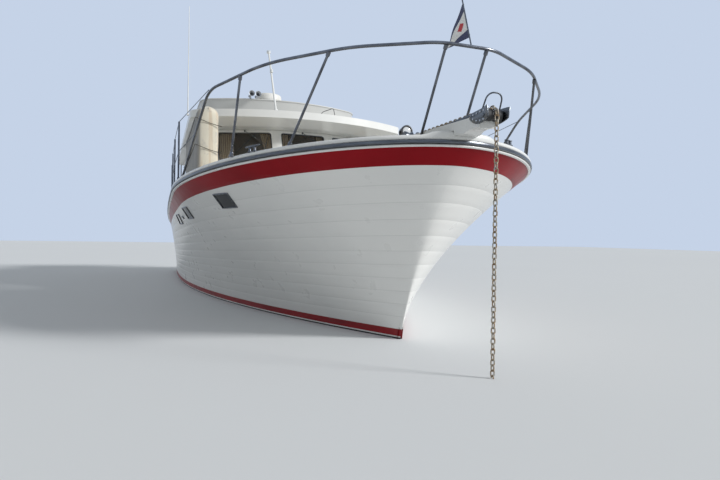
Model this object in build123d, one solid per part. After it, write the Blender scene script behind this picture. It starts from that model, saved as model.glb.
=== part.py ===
"""Trawler yacht, 42 ft class: a decked displacement hull with a flared, round-nosed bow,
a saloon house with a three-pane front, a boat deck over it and an open flybridge.

Millimetres. +X forward, +Y port, +Z up. The origin is amidships on the centreline
at the waterline.
"""
from build123d import *
import math
import os

os.makedirs("parts", exist_ok=True)

# Hull: stem, sheer and transom
STEM_FOOT_X = 5600        # where the stem meets the water
STEM_RAKE = 0.356         # forward reach of the stem for each mm of height
STEM_SWEEP = 0.174e-3     # and its growing flare, per mm squared
BOW_SHEER_Z = 1800        # sheer height at the stem head
SHEER_FALL = 0.055        # fall of the sheer going aft
SHEER_CURVE = 1.0e-6      # and how it levels out, per mm
STERN_FOOT_X = -5850
STERN_RAKE = 0.10
TRANSOM_CROWN = 60        # bulge of the transom amidships
FLARE_POWER = 1.453       # hollow of the topsides between waterline and sheer
HULL_TOP_Z = 2150         # height the hull's form is drawn to before the sheer cuts it
KEEL_FLAT_Z = -800

# Half-breadth curves: half beam, length of the bow's run, fullness, roundness of the nose,
# share by which the stern narrows
DECK_LINE = (2149, 3844, 2.136, 0.556, 0.159)
WATER_LINE = (1799, 8879, 2.393, 1.011, 0.079)
LINE_LENGTH = 12800

# Underwater levels: height, bow x, stern x, share of the waterline's breadth
BOTTOM_LEVELS = [
    (KEEL_FLAT_Z, 4400, -3600, 0.26),
    (-650, 4780, -4150, 0.53),
    (-480, 5080, -4720, 0.70),
    (-300, 5340, -5330, 0.84),
    (-140, 5500, -5700, 0.94),
    (0, STEM_FOOT_X, STERN_FOOT_X, 1.0),
]
TOPSIDE_LEVELS = [0, 250, 700, 1200, 1700, HULL_TOP_Z]
ARC_STATIONS = [0, 280, 850, 2000, 3800, 7200]   # distances aft of the stem, arc ends and middles

# Bands around the topsides
BOOT_STRIPE_Z = 105
STRAKE_DEPTH = 135
MOULDING_HEIGHT = 18
MOULDING_OUT = 22
RUB_STRIP_HEIGHT = 27
RUB_STRIP_OUT = 40
BAND_IN = 40              # how far the bands sit in from the deck edge
DECK_THICK = MOULDING_HEIGHT + RUB_STRIP_HEIGHT
GUNWALE_HEIGHT = 85
GUNWALE_OUT = 30
GUNWALE_IN = 90
GUNWALE_TOP = DECK_THICK + GUNWALE_HEIGHT

# Keel, propeller and rudder
KEEL_THICK = 150
KEEL_HEEL_Z = -1240
KEEL_FORE_X = 4250
APERTURE_X = -4380        # aft face of the deadwood
SHOE_AFT_X = -5060
SHOE_HEIGHT = 90
PROP_R = 250
PROP_X = -4560
PROP_Z = -860
PROP_BLADES = 4
PROP_HUB_R = 55
PROP_HUB_LONG = 130
PROP_CONE_LONG = 70
PROP_CONE_R = 22
SHAFT_R = 22
SHAFT_IN = 260            # length of shaft inside the deadwood
RUN_CLEAR = 0.05          # radial clearance of shafts and stocks
STOCK_X = -4960
STOCK_R = 26
RUDDER_TOP_Z = -475
RUDDER_FOOT_Z = KEEL_HEEL_Z + SHOE_HEIGHT + 12
STOCK_IN = 375            # length of the stock above the blade
HEEL_PIN = 45             # and of the pin below it
RUDDER_FORE = 60
RUDDER_AFT = 400
RUDDER_THICK = 52

# Cockpit, saloon well and engine room
COCKPIT_AFT_X = -5780
BULKHEAD_X = -3650        # aft face of the saloon's bulkhead
BULKHEAD_THICK = 100
COCKPIT_HALF = 1560
COCKPIT_SOLE_Z = 640
SALOON_SOLE_Z = 860
SOLE_THICK = 40
SALOON_FORE_X = 1300
SALOON_HALF = 1400
ENGINE_ROOM = (-1500, 700, 800, -420)      # aft x, fore x, half width, floor z
ENGINE_SIZE = (1350, 760, 880)
ENGINE_X = -500

# Portlights below the sheer strake: aft x, fore x of the lower edge
PORTLIGHTS = [(4250, 4570), (2460, 2860), (1150, 1550)]
PORTLIGHT_DROP = 175
PORTLIGHT_HIGH = 142
PORTLIGHT_RAKE = 110
PORTLIGHT_DEEP = 14

# Transom gate: y from, y to
GATE_Y = (480, 1060)
GATE_GAP = 8
GATE_IN = 20              # how far its panel reaches in from the transom's side line
GATE_PIVOT = (-6075, 1064)
GATE_KNUCKLES_Z = [820, 1180]

# Swim platform
SWIM_AFT_X = -6460
SWIM_HALF = 1480
SWIM_Z = 250
SWIM_THICK = 50
SWIM_STRUTS_Y = [-1000, 0, 1000]
SWIM_STRUT_R = 18
SWIM_STRUT_FOOT_Z = 40
SWIM_GAP = 15             # between the transom and the platform's fore edge

# House
HOUSE_TOP_Z = 2840
HOUSE_HALF = 1500
HOUSE_WALL = 50
HOUSE_FRONT_X = 1400      # centre panel at the top
HOUSE_CORNER_X = 930      # side panels' outer ends at the top
HOUSE_PANEL_HALF = 460    # half width of the centre panel
HOUSE_RAKE = math.tan(math.radians(27))
HOUSE_BASE_Z = 1250
WINDOW_LOW_Z = 2120
WINDOW_HIGH_Z = 2790
WINDOW_CORNER = 40
GLASS_IN = 21
GLASS_THICK = 8
CURTAIN_THICK = 24
# Front windows: y from, y to
FRONT_PANES = [(-1390, -545), (-375, 375), (545, 1390)]
# Front curtains: y from, y to
CURTAINS = [(-1400, -1130), (-700, -545), (-375, -230), (230, 375), (545, 700), (1130, 1400)]
# Side windows: x from, x to, lower z, upper z
SIDE_PANES = [(-3250, -2150, 1930, 2650), (-2030, -750, 1930, 2650), (-630, 560, 1960, 2650)]
DOOR_HALF = 350
DOOR_TOP_Z = 2690
DOOR_THICK = 40
DOOR_GAP = 6
DOOR_PIVOT = (-3658, -352)
DOOR_KNUCKLES_Z = [1150, 1700, 2450]
DOOR_GLASS = (420, 700)   # width and height of the door's window
DOOR_GLASS_Z = 2180

# Boat deck
ROOF_FRONT_X = 1980
ROOF_FRONT_R = 3245
ROOF_HALF = 1860
ROOF_AFT_X = -5400
ROOF_AFT_HALF = 1780
ROOF_EDGE_Z = 2940        # lower edge of the fascia
ROOF_TOP_Z = 3060
ROOF_CORNER = 260
ROOF_SOFFIT_IN = 330      # run of the sloping soffit
LADDER_HATCH = (-4900, -4250, 560, 1260)   # aft x, fore x, y from, y to
POST_X = -5250
POST_Y = 1690
POST_R = 22

# Flybridge
FLY_FRONT_X = 180
FLY_FRONT_R = 2711
FLY_HALF = 1560
FLY_AFT_X = -3400
FLY_OPEN_X = -3200
FLY_RIM_Z = 3620
FLY_LEAN = 100            # how far the coaming leans out
FLY_WALL = 60
FLY_CORNER = 420
CAP_THICK = 25
CAP_OUT = 15
CAP_IN = 35
CONSOLE_AFT_X = -640
CONSOLE_HALF = 1000
CONSOLE_TOP_Z = FLY_RIM_Z - 20
WHEEL_Y = -450
WHEEL_Z = 3400
WHEEL_R = 215
WHEEL_RIM_R = 14
WHEEL_OFF = 130           # from the console to the wheel's plane
WHEEL_TILT = 20
WHEEL_SPOKES = 5
SPINDLE_R = 18
SPINDLE_LONG = 95
BOSS_R = 30
BOSS_LONG = 90
BOSS_GAP = 0.3            # running gap between the spindle's end and the console's boss
SEAT_X = (-1620, -1180)
SEAT_HALF = 560
SEAT_Z = 3440
CUSHION_THICK = 110

# Trunk cabin and foredeck
TRUNK_TOP_Z = 2080
TRUNK_FORE_X = 4750
TRUNK_HALF = 1050
HATCH_X = (3250, 3850)
HATCH_HALF = 300
HATCH_COAMING = 40
HATCH_WALL = 45
LID_THICK = 34
HATCH_PIVOT_OUT = 10      # hinge axis, ahead of the lid and level with its underside
HATCH_KNUCKLES_Y = [-200, 200]
KNUCKLE_R = 7
KNUCKLE_LONG = 60
LEAF_THICK = 4
LEAF_LONG = 45
LAMP_X = 4560
LAMP_Y = 500
LAMP_Z = 2350
LAMP_R = 75
LAMP_LONG = 120
WINDLASS_X = 6010
WINDLASS_Z = 2010
DRUM_R = 50
DRUM_GROOVE_R = 14

# Cleats on the gunwale
CLEATS_X = [5560, -5300]
CLEAT_LONG = 230
CLEAT_HIGH = 52
CLEAT_R = 12
CLEAT_SUNK = 15           # drawn below the gunwale's slope, then cut to it
CLEAT_IN = 30

# Anchor gear
PLATFORM_ROOT_X = 6230
PLATFORM_NOSE_X = 7160
PLATFORM_ROOT_HALF = 230
PLATFORM_NOSE_HALF = 70
ROLLER_X = 7225
ROLLER_Z = 1985
ROLLER_R = 45
ROLLER_HALF = 64
CHEEK_THICK = 10
AXLE_R = 8
BAIL_R = 6
CHAIN_R = 58              # radius at which the chain goes round the roller
LINK_WIRE = 11
LINK_PITCH = 40
LINK_WIDTH = 41
LINK_GAP = 2.5            # slack in each joint of the chain
CHAIN_FOOT_Z = -240
SHANK_LONG = 560

# Radome, horns, signal mast and whip
RADOME_X = -330
RADOME_Y = -270
RADOME_R = 262
RADOME_HIGH = 215
HORNS_Y = [-690, -570]
HORN_X = 180
HORN_Z = 3705
HORN_R = 55
MAST_FOOT = (1880, -560, 3040)
MAST_HEAD = (1335, -590, 4165)
MAST_R = 17
WHIP_X = -2200
WHIP_Y = -1700
WHIP_Z = 3700
WHIP_LONG = 2400
WHIP_R = 13

# Pennant: staff foot and head, then the flag's hoist and fly
STAFF_FOOT = (6838, 40, 2632)
STAFF_HEAD = (6652, 50, 3108)
STAFF_R = 6
PENNANT_HOIST = (0.19, 0.90)   # shares of the staff's length
PENNANT_FLY = (6400, 2745)
PENNANT_THICK = 4

# Covered tender on edge, on the starboard side deck
TENDER_X = (1400, 3900)
TENDER_Y = (-1945, -1640)
TENDER_TOP_Z = 2630
TENDER_ROUND = 110

# Ladder to the boat deck
LADDER_Y = (680, 1140)
LADDER_TREADS = 7
LADDER_STILE = (70, 30)

# Rails
RAIL_R = 15
STANCHION_R = 12
# Port half of the bow rail, from its aft foot to the nose: x, y, z, radius of the bend there
RAIL_PATH = [
    (3610, 2075, 1745, 0),
    (4930, 1885, 2530, 600),
    (5880, 1490, 2580, 1500),
    (6500, 900, 2612, 1100),
    (6840, 260, 2632, 480),
]
# Bow stanchions: foot x, foot y, head x, head y, head z
STANCHIONS = [(6330, 200, 6836, 190, 2631), (5890, 1290, 6358, 1035, 2605), (5270, 1700, 5500, 1648, 2560)]
RAIL_WIRE_FOOT = 0.55     # where the lower side wire meets the rail's aft run
SIDE_POSTS_X = [3380, 2280, 1100, -100, -1300, -2500, -3500]
SIDE_POST_HIGH = 720
SIDE_POST_R = 11
SIDE_POST_IN = 30
WIRE_R = 4
WIRE_LOW = 340


def box(x0, x1, y0, y1, z0, z1):
    return Pos((x0 + x1) / 2, (y0 + y1) / 2, (z0 + z1) / 2) * Box(x1 - x0, y1 - y0, z1 - z0)


def rod(start, end, r):
    """A round bar between two points."""
    axis = Vector(*end) - Vector(*start)
    seated = (Align.CENTER, Align.CENTER, Align.MIN)
    return Plane(origin=start, z_dir=axis) * Cylinder(r, axis.length, align=seated)


def both(solid):
    """The solid and its mirror image across the centreline."""
    return [solid, mirror(solid, about=Plane.XZ)]


def write(name, shape):
    if isinstance(shape, (list, tuple)):
        shape = Compound(children=[part for group in shape for part in group.solids()])
    export_step(shape, f"parts/{name}.step")


def stem_x(z):
    return STEM_FOOT_X + STEM_RAKE * z + STEM_SWEEP * z * z


def stern_x(z):
    return STERN_FOOT_X - STERN_RAKE * z


STEM_HEAD_X = stem_x(BOW_SHEER_Z)


def sheer_z(x):
    aft = STEM_HEAD_X - x
    return BOW_SHEER_Z - SHEER_FALL * aft + SHEER_CURVE * aft * aft


def line_half(aft, line):
    """Half-breadth of the deck or waterline curve, a distance aft of the stem."""
    half_beam, run, fullness, roundness, narrowing = line
    share = min(max(aft, 0) / run, 1)
    past = max(0, aft - run) / (LINE_LENGTH - run)
    return half_beam * (1 - (1 - share) ** fullness) ** roundness * (1 - narrowing * past ** 2)


def topside_half(aft, z):
    """Half-breadth of the topsides at a height, with the bow's flare."""
    water = line_half(aft, WATER_LINE)
    rise = z / sheer_z(STEM_HEAD_X - aft)
    return water + (line_half(aft, DECK_LINE) - water) * rise ** FLARE_POWER


def deck_half(x):
    return line_half(STEM_HEAD_X - x, DECK_LINE)


def outline(z, bow_x, aft_x, half_at, grow=0):
    """A level's outline: three arcs a side and the transom's arc, grown outwards if asked."""
    stations = ARC_STATIONS[1:] + [bow_x - aft_x]

    def grown(aft):
        slope = (half_at(aft + 5) - half_at(aft - 5)) / 10
        reach = grow / math.hypot(1, slope)
        last = grow if aft == stations[-1] else -reach * slope
        return bow_x - aft - last, half_at(aft) + reach

    points = [(bow_x + grow, 0)] + [grown(aft) for aft in stations]
    sides = []
    for sign in (1, -1):
        side = [(x, sign * y, z) for x, y in points]
        sides.append([ThreePointArc(*side[i:i + 3]) for i in (0, 2, 4)])
    transom = ThreePointArc(sides[0][2] @ 1, (aft_x - grow - TRANSOM_CROWN, 0, z), sides[1][2] @ 1)
    return Wire(sides[0] + [transom] + sides[1])


def topsides_form():
    """The hull above the water, up to a level over the sheer."""
    levels = [outline(z, stem_x(z), stern_x(z), lambda s, z=z: topside_half(s, z)) for z in TOPSIDE_LEVELS]
    return Solid.make_loft(levels, False)


def bottom_form():
    """The hull below the water, down to the flat of its keel."""

    def half_at(aft, bow, share):
        return share * line_half(aft + (STEM_FOOT_X - bow) / 2 * (aft > 0), WATER_LINE)

    levels = [
        outline(z, bow, aft, lambda s, bow=bow, share=share: half_at(s, bow, share))
        for z, bow, aft, share in BOTTOM_LEVELS
    ]
    return Solid.make_loft(levels, True)


def sheer_slab(low, high):
    """The layer between two curves parallel to the sheer, right across the boat."""
    reach, side = 9000, 3500

    def curve(offset):
        return ThreePointArc(*[(x, -side, sheer_z(x) + offset) for x in (-reach, 0, reach)])

    lower, upper = curve(low), curve(high)
    face = make_face([lower, Line(lower @ 1, upper @ 1), upper, Line(upper @ 0, lower @ 0)])
    return extrude(face, 2 * side, dir=(0, 1, 0))


def deck_plan(grow, z0=0, z1=2500):
    """The deck edge's plan, grown outwards and extruded."""
    aft_x = stern_x(sheer_z(STERN_FOOT_X))
    wire = outline(z0, STEM_HEAD_X, aft_x, lambda s: line_half(s, DECK_LINE), grow)
    return extrude(make_face(wire.edges()), z1 - z0, dir=(0, 0, 1))


def ring(out, inn, low, high):
    """A band that follows the deck edge and the sheer."""
    return (deck_plan(out) - deck_plan(-inn)) & sheer_slab(low, high)


def rounded_prism_x(y0, y1, z0, z1, x0, x1, r):
    plane = Plane(origin=(x0, (y0 + y1) / 2, (z0 + z1) / 2), x_dir=(0, 1, 0), z_dir=(1, 0, 0))
    face = plane * RectangleRounded(y1 - y0, z1 - z0, r)
    return extrude(face, x1 - x0, dir=(1, 0, 0))


def rounded_prism_y(x0, x1, z0, z1, y0, y1, r):
    plane = Plane(origin=((x0 + x1) / 2, y0, (z0 + z1) / 2), x_dir=(1, 0, 0), z_dir=(0, 1, 0))
    face = plane * RectangleRounded(x1 - x0, z1 - z0, r)
    return extrude(face, y1 - y0, dir=(0, 1, 0))


def profile(points, y0, y1):
    """An outline in the boat's long plane, extruded across it."""
    face = make_face(Polyline(*[(x, y0, z) for x, z in points], close=True))
    return extrude(face, y1 - y0, dir=(0, 1, 0))


def above_sheer(low):
    return sheer_slab(low, 6000)


def above_water():
    return box(-9000, 9000, -4000, 4000, 0, 6000)


def keel():
    """Deadwood, keel and the shoe that carries the rudder's heel, up to inside the hull."""
    top = KEEL_FLAT_Z + 420
    deadwood = profile(
        [(KEEL_FORE_X, top), (KEEL_FORE_X - 300, -960), (APERTURE_X, KEEL_HEEL_Z), (APERTURE_X, top)],
        -KEEL_THICK / 2, KEEL_THICK / 2,
    )
    half = KEEL_THICK / 3
    return deadwood + box(SHOE_AFT_X, APERTURE_X + 300, -half, half, KEEL_HEEL_Z, KEEL_HEEL_Z + SHOE_HEIGHT)


def shaft_bore():
    return Pos(APERTURE_X, 0, PROP_Z) * Rot(0, 90, 0) * Cylinder(SHAFT_R + RUN_CLEAR, 2 * SHAFT_IN)


def stock_bores():
    """Where the rudder's stock enters the hull and its heel pin sits in the shoe."""
    stock = upright(STOCK_X, 0, RUDDER_TOP_Z, STOCK_R + RUN_CLEAR, STOCK_IN + 10)
    return stock + upright(STOCK_X, 0, RUDDER_FOOT_Z - HEEL_PIN - 5, STOCK_R + RUN_CLEAR, HEEL_PIN + 10)


def portlight_prisms(side):
    """Raked outlines of one side's portlights, extruded outwards."""
    prisms = []
    for aft, fore in PORTLIGHTS:
        top = sheer_z((aft + fore) / 2) - PORTLIGHT_DROP
        low = top - PORTLIGHT_HIGH
        corners = [(aft, low), (fore, low), (fore + PORTLIGHT_RAKE, top), (aft + PORTLIGHT_RAKE, top)]
        prisms.append(profile(corners, *sorted((0, side * 4000))))
    return prisms


def portlight_panes(form):
    """Panes let into the topsides, flush with the planking."""
    panes = []
    for side in (-1, 1):
        inner = Pos(0, -side * PORTLIGHT_DEEP, 0) * form
        panes += [(prism & form) - inner for prism in portlight_prisms(side)]
    return panes


def doorway():
    return box(BULKHEAD_X - 20, BULKHEAD_X + BULKHEAD_THICK + 20, -DOOR_HALF, DOOR_HALF, SALOON_SOLE_Z, DOOR_TOP_Z)


def gateway(gap=0):
    low, high = GATE_Y
    return box(COCKPIT_AFT_X - 500, COCKPIT_AFT_X + 40, low + gap, high - gap, COCKPIT_SOLE_Z + gap, 3000)


def cockpit_well():
    return box(COCKPIT_AFT_X, BULKHEAD_X, -COCKPIT_HALF, COCKPIT_HALF, COCKPIT_SOLE_Z, 4000)


def saloon_well():
    fore_wall = BULKHEAD_X + BULKHEAD_THICK
    return box(fore_wall, SALOON_FORE_X, -SALOON_HALF, SALOON_HALF, SALOON_SOLE_Z - SOLE_THICK, 4000)


def engine_room():
    aft, fore, half, floor = ENGINE_ROOM
    return box(aft, fore, -half, half, floor, SALOON_SOLE_Z)


def build_hull():
    form = topsides_form()
    wells = [cockpit_well(), saloon_well(), doorway(), gateway()]
    panes = portlight_panes(form)
    boot_band = box(-9000, 9000, -4000, 4000, 0, BOOT_STRIPE_Z)
    planking = (form & sheer_slab(-6000, -STRAKE_DEPTH)) - boot_band
    bands = {
        "hull_planking": (planking, wells + [engine_room()] + panes),
        "sheer_strake": (form & sheer_slab(-STRAKE_DEPTH, 0), wells),
        "deck": (deck_plan(-BAND_IN) & sheer_slab(0, DECK_THICK), wells),
        "sheer_moulding": (ring(MOULDING_OUT, BAND_IN, 0, MOULDING_HEIGHT), wells[3:]),
        "rub_strip": (ring(RUB_STRIP_OUT, BAND_IN, MOULDING_HEIGHT, DECK_THICK), wells[3:]),
        "gunwale": (ring(GUNWALE_OUT, GUNWALE_IN, DECK_THICK, GUNWALE_TOP), wells[3:]),
    }
    opening = gateway(GATE_GAP)
    gate = None
    for name, (band, cuts) in bands.items():
        layer = (band & opening) - wells[0]
        gate = layer if gate is None else gate + layer
        for cut in cuts:
            band = band - cut
        write(name, band)
    write("transom_gate", (gate & gate_reach()) + gate_knuckles())
    write("portlights", panes)
    write("boot_stripe", (form & boot_band) - engine_room())
    bottom = bottom_form() + (keel() - above_water())
    write("hull_bottom", bottom - engine_room() - shaft_bore() - stock_bores())
    platform = box(SWIM_AFT_X, stern_x(0) + 60, -SWIM_HALF, SWIM_HALF, SWIM_Z, SWIM_Z + SWIM_THICK)
    platform -= Pos(-SWIM_GAP, 0, 0) * form
    for y in SWIM_STRUTS_Y:
        platform += rod((SWIM_AFT_X + 120, y, SWIM_Z + 10), (stern_x(0) + 60, y, SWIM_STRUT_FOOT_Z), SWIM_STRUT_R)
    write("swim_platform", platform - form)


def gate_reach():
    """The panel's depth, and the sweep about its hinge that clears the far jamb."""
    high = 3000
    inner = [(stern_x(0) + GATE_IN, 0), (stern_x(high) + GATE_IN, high), (-9000, high), (-9000, 0)]
    return profile(inner, 0, high) & upright(*GATE_PIVOT, 0, GATE_PIVOT[1] - GATE_Y[0] - GATE_GAP, high)


def gate_knuckles():
    """Two hinge arms on the gate's outer face, with their barrels on the hinge's axis."""
    x, y = GATE_PIVOT
    edge = GATE_Y[1] - GATE_GAP - 2
    arms = []
    for z in GATE_KNUCKLES_Z:
        top = z + KNUCKLE_LONG / 2
        arm = box(x - KNUCKLE_R, stern_x(z) - 10, edge - 22, edge, z, top)
        arm += box(x - KNUCKLE_R, x + KNUCKLE_R, edge - 22, y, z, top)
        arms.append(arm + upright(x, y, z, KNUCKLE_R + 3, KNUCKLE_LONG))
    return arms[0] + arms[1]


def propeller_blade():
    """A twisted blade, lofted from root to tip through four sections."""
    # radius, chord, pitch angle, thickness
    rows = [(PROP_HUB_R - 14, 90, 62, 22), (140, 160, 40, 14), (205, 160, 30, 9), (PROP_R, 65, 25, 5)]
    sections = []
    for radius, chord, angle, thick in rows:
        along = (math.cos(math.radians(angle)), math.sin(math.radians(angle)), 0)
        plane = Plane(origin=(0, 0, radius), x_dir=along, z_dir=(0, 0, 1))
        back = ThreePointArc((-chord / 2, 0), (0, thick), (chord / 2, 0))
        sections.append(plane * make_face([back, Line((chord / 2, 0), (-chord / 2, 0))]))
    return loft(sections)


def build_running_gear():
    wheel = Rot(0, 90, 0) * Cylinder(PROP_HUB_R, PROP_HUB_LONG)
    cone = Cone(PROP_CONE_R, PROP_HUB_R, PROP_CONE_LONG)
    wheel += Pos(-(PROP_HUB_LONG + PROP_CONE_LONG) / 2, 0, 0) * Rot(0, 90, 0) * cone
    for i in range(PROP_BLADES):
        wheel += Rot(i * 360 / PROP_BLADES, 0, 0) * propeller_blade()
    write("propeller", Pos(PROP_X, 0, PROP_Z) * wheel)
    aft_end, fore_end = PROP_X + PROP_HUB_LONG / 2, APERTURE_X + SHAFT_IN - 10
    write("propeller_shaft", rod((aft_end, 0, PROP_Z), (fore_end, 0, PROP_Z), SHAFT_R))
    write("rudder", rudder())


def rudder():
    """A foil-section blade on its stock, with a heel pin."""
    shoulder, tail_half = RUDDER_FORE - 26, 5
    half = RUDDER_THICK / 2
    nose = ThreePointArc((shoulder, half), (RUDDER_FORE, 0), (shoulder, -half))
    flank = ThreePointArc((shoulder, -half), (-120, 4 - half), (-RUDDER_AFT, -tail_half))
    tail = Line((-RUDDER_AFT, -tail_half), (-RUDDER_AFT, tail_half))
    other = ThreePointArc((-RUDDER_AFT, tail_half), (-120, half - 4), (shoulder, half))
    blade = extrude(make_face([nose, flank, tail, other]), RUDDER_TOP_Z - RUDDER_FOOT_Z, dir=(0, 0, 1))
    foot = RUDDER_FOOT_Z - HEEL_PIN
    stock = upright(STOCK_X, 0, foot, STOCK_R, RUDDER_TOP_Z + STOCK_IN - foot)
    return Pos(STOCK_X, 0, RUDDER_FOOT_Z) * blade + stock


def house_outline(z, inset):
    """Plan of the house at a height: the raked three-panel front and straight sides."""
    run = (HOUSE_FRONT_X - HOUSE_CORNER_X) / (HOUSE_HALF - HOUSE_PANEL_HALF)
    front = HOUSE_FRONT_X + (HOUSE_TOP_Z - z) * HOUSE_RAKE - inset
    knuckle = HOUSE_PANEL_HALF - inset * math.tan(math.atan(run) / 2)
    side = HOUSE_HALF - inset
    corner = front - (side - knuckle) * run
    aft = BULKHEAD_X + inset
    points = [(front, knuckle), (corner, side), (aft, side), (aft, -side), (corner, -side), (front, -knuckle)]
    return Wire(Polyline(*[(x, y, z) for x, y in points], close=True).edges())


def house_solid(inset):
    return Solid.make_loft([house_outline(z, inset) for z in (HOUSE_BASE_Z, HOUSE_TOP_Z)], True)


def front_region():
    """Everything ahead of the corners between the front panels and the sides."""
    low_x = HOUSE_CORNER_X + (HOUSE_TOP_Z - HOUSE_BASE_Z) * HOUSE_RAKE
    corners = [(low_x, HOUSE_BASE_Z), (6000, HOUSE_BASE_Z), (6000, HOUSE_TOP_Z), (HOUSE_CORNER_X, HOUSE_TOP_Z)]
    return profile(corners, -3000, 3000)


def window_prisms():
    front = [
        rounded_prism_x(low, high, WINDOW_LOW_Z, WINDOW_HIGH_Z, 300, 2600, WINDOW_CORNER)
        for low, high in FRONT_PANES
    ]
    sides = [
        rounded_prism_y(aft, fore, low, high, *span, WINDOW_CORNER)
        for aft, fore, low, high in SIDE_PANES
        for span in ((-1700, -1300), (1300, 1700))
    ]
    return front, sides


def build_house():
    shell = (house_solid(0) - house_solid(HOUSE_WALL)) & above_sheer(DECK_THICK)
    aft_zone = box(BULKHEAD_X - 100, BULKHEAD_X + HOUSE_WALL, -3000, 3000, 0, 4000)
    ahead = front_region()
    front_cuts, side_cuts = window_prisms()
    front = shell & ahead
    sides = shell - ahead - aft_zone
    for cut in front_cuts:
        front = front - cut
    for cut in side_cuts:
        sides = sides - cut
    port = box(-9000, 9000, 0, 4000, 0, 5000)
    write("house_front", front)
    write("house_side_port", sides & port)
    write("house_side_starboard", sides - port)
    write("house_aft_wall", (shell & aft_zone) - doorway())
    pane_skin = house_solid(GLASS_IN) - house_solid(GLASS_IN + GLASS_THICK)
    write("windscreen", [pane_skin & cut for cut in front_cuts])
    write("side_windows", [pane_skin & cut for cut in side_cuts])
    cloth_skin = house_solid(HOUSE_WALL) - house_solid(HOUSE_WALL + CURTAIN_THICK)
    drop = (WINDOW_LOW_Z - 30, HOUSE_TOP_Z - 6)
    write("curtains", [cloth_skin & box(300, 2600, low, high, *drop) for low, high in CURTAINS])


def build_saloon():
    door = box(BULKHEAD_X, BULKHEAD_X + DOOR_THICK, -DOOR_HALF + DOOR_GAP, DOOR_HALF - DOOR_GAP,
               SALOON_SOLE_Z + DOOR_GAP, DOOR_TOP_Z - DOOR_GAP)
    wide, high = DOOR_GLASS
    light = rounded_prism_x(-wide / 2, wide / 2, DOOR_GLASS_Z - high / 2, DOOR_GLASS_Z + high / 2,
                            BULKHEAD_X - 50, BULKHEAD_X + 90, WINDOW_CORNER)
    x, y = DOOR_PIVOT
    for z in DOOR_KNUCKLES_Z:
        door += upright(x, y, z, KNUCKLE_R, KNUCKLE_LONG)
        door += box(x - LEAF_THICK / 2, x + LEAF_THICK / 2, y, y + LEAF_LONG, z, z + KNUCKLE_LONG)
        door += box(x, BULKHEAD_X + 2, y + LEAF_LONG / 3, y + LEAF_LONG, z, z + KNUCKLE_LONG)
    write("saloon_door", door - light)
    write("door_window", light & box(BULKHEAD_X + 16, BULKHEAD_X + 24, -wide, wide, 0, 4000))
    write("saloon_sole", box(BULKHEAD_X + BULKHEAD_THICK, SALOON_FORE_X, -SALOON_HALF, SALOON_HALF,
                             SALOON_SOLE_Z - SOLE_THICK, SALOON_SOLE_Z))
    floor = ENGINE_ROOM[3]
    long, wide, tall = ENGINE_SIZE
    write("engine", box(ENGINE_X - long / 2, ENGINE_X + long / 2, -wide / 2, wide / 2, floor, floor + tall))


def arc_fronted(z, front, radius, half, aft, aft_half, corner, round_all):
    """A plan with one shallow arc ahead, straight sides and rounded corners."""
    corner_x = front - radius + math.sqrt(radius ** 2 - half ** 2)
    ahead = ThreePointArc((corner_x, half, z), (front, 0, z), (corner_x, -half, z))
    starboard = Line((corner_x, -half, z), (aft, -aft_half, z))
    across = Line((aft, -aft_half, z), (aft, aft_half, z))
    port = Line((aft, aft_half, z), (corner_x, half, z))
    face = make_face([ahead, starboard, across, port])
    corners = face.vertices().sort_by(Axis.X)
    return fillet(corners if round_all else corners[2:], corner)


def roof_plan(z, inset):
    return arc_fronted(z, ROOF_FRONT_X - inset, ROOF_FRONT_R - inset, ROOF_HALF - inset,
                       ROOF_AFT_X + inset, ROOF_AFT_HALF - inset, ROOF_CORNER, True)


def fly_plan(z, inset):
    return arc_fronted(z, FLY_FRONT_X - inset, FLY_FRONT_R - inset, FLY_HALF - inset,
                       FLY_AFT_X, FLY_HALF - inset, FLY_CORNER, False)


def build_roof():
    soffit = loft([roof_plan(HOUSE_TOP_Z, ROOF_SOFFIT_IN), roof_plan(ROOF_EDGE_Z, 0)], ruled=True)
    fascia = extrude(roof_plan(ROOF_EDGE_Z, 0), ROOF_TOP_Z - ROOF_EDGE_Z, dir=(0, 0, 1))
    aft, fore, low, high = LADDER_HATCH
    roof = soffit + fascia - box(aft, fore, low, high, 2000, 4000)
    write("boat_deck", roof)
    posts = both(rod((POST_X, POST_Y, 1000), (POST_X, POST_Y, ROOF_TOP_Z), POST_R))
    write("deck_posts", [(post & above_sheer(DECK_THICK)) - roof for post in posts])
    deep, thick = LADDER_STILE
    foot, head = (aft, COCKPIT_SOLE_Z), (fore - deep, ROOF_TOP_Z)
    stile = [(foot[0], foot[1]), (foot[0] + deep, foot[1]), (head[0] + deep, head[1]), (head[0], head[1])]
    ladder = profile(stile, LADDER_Y[0], LADDER_Y[0] + thick)
    ladder += profile(stile, LADDER_Y[1] - thick, LADDER_Y[1])
    for i in range(LADDER_TREADS):
        share = (i + 1) / (LADDER_TREADS + 1)
        x, z = (a + share * (b - a) for a, b in zip(foot, head))
        ladder += box(x - 20, x + deep + 20, LADDER_Y[0] + thick, LADDER_Y[1] - thick, z, z + 30)
    write("flybridge_ladder", ladder - roof)


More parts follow.
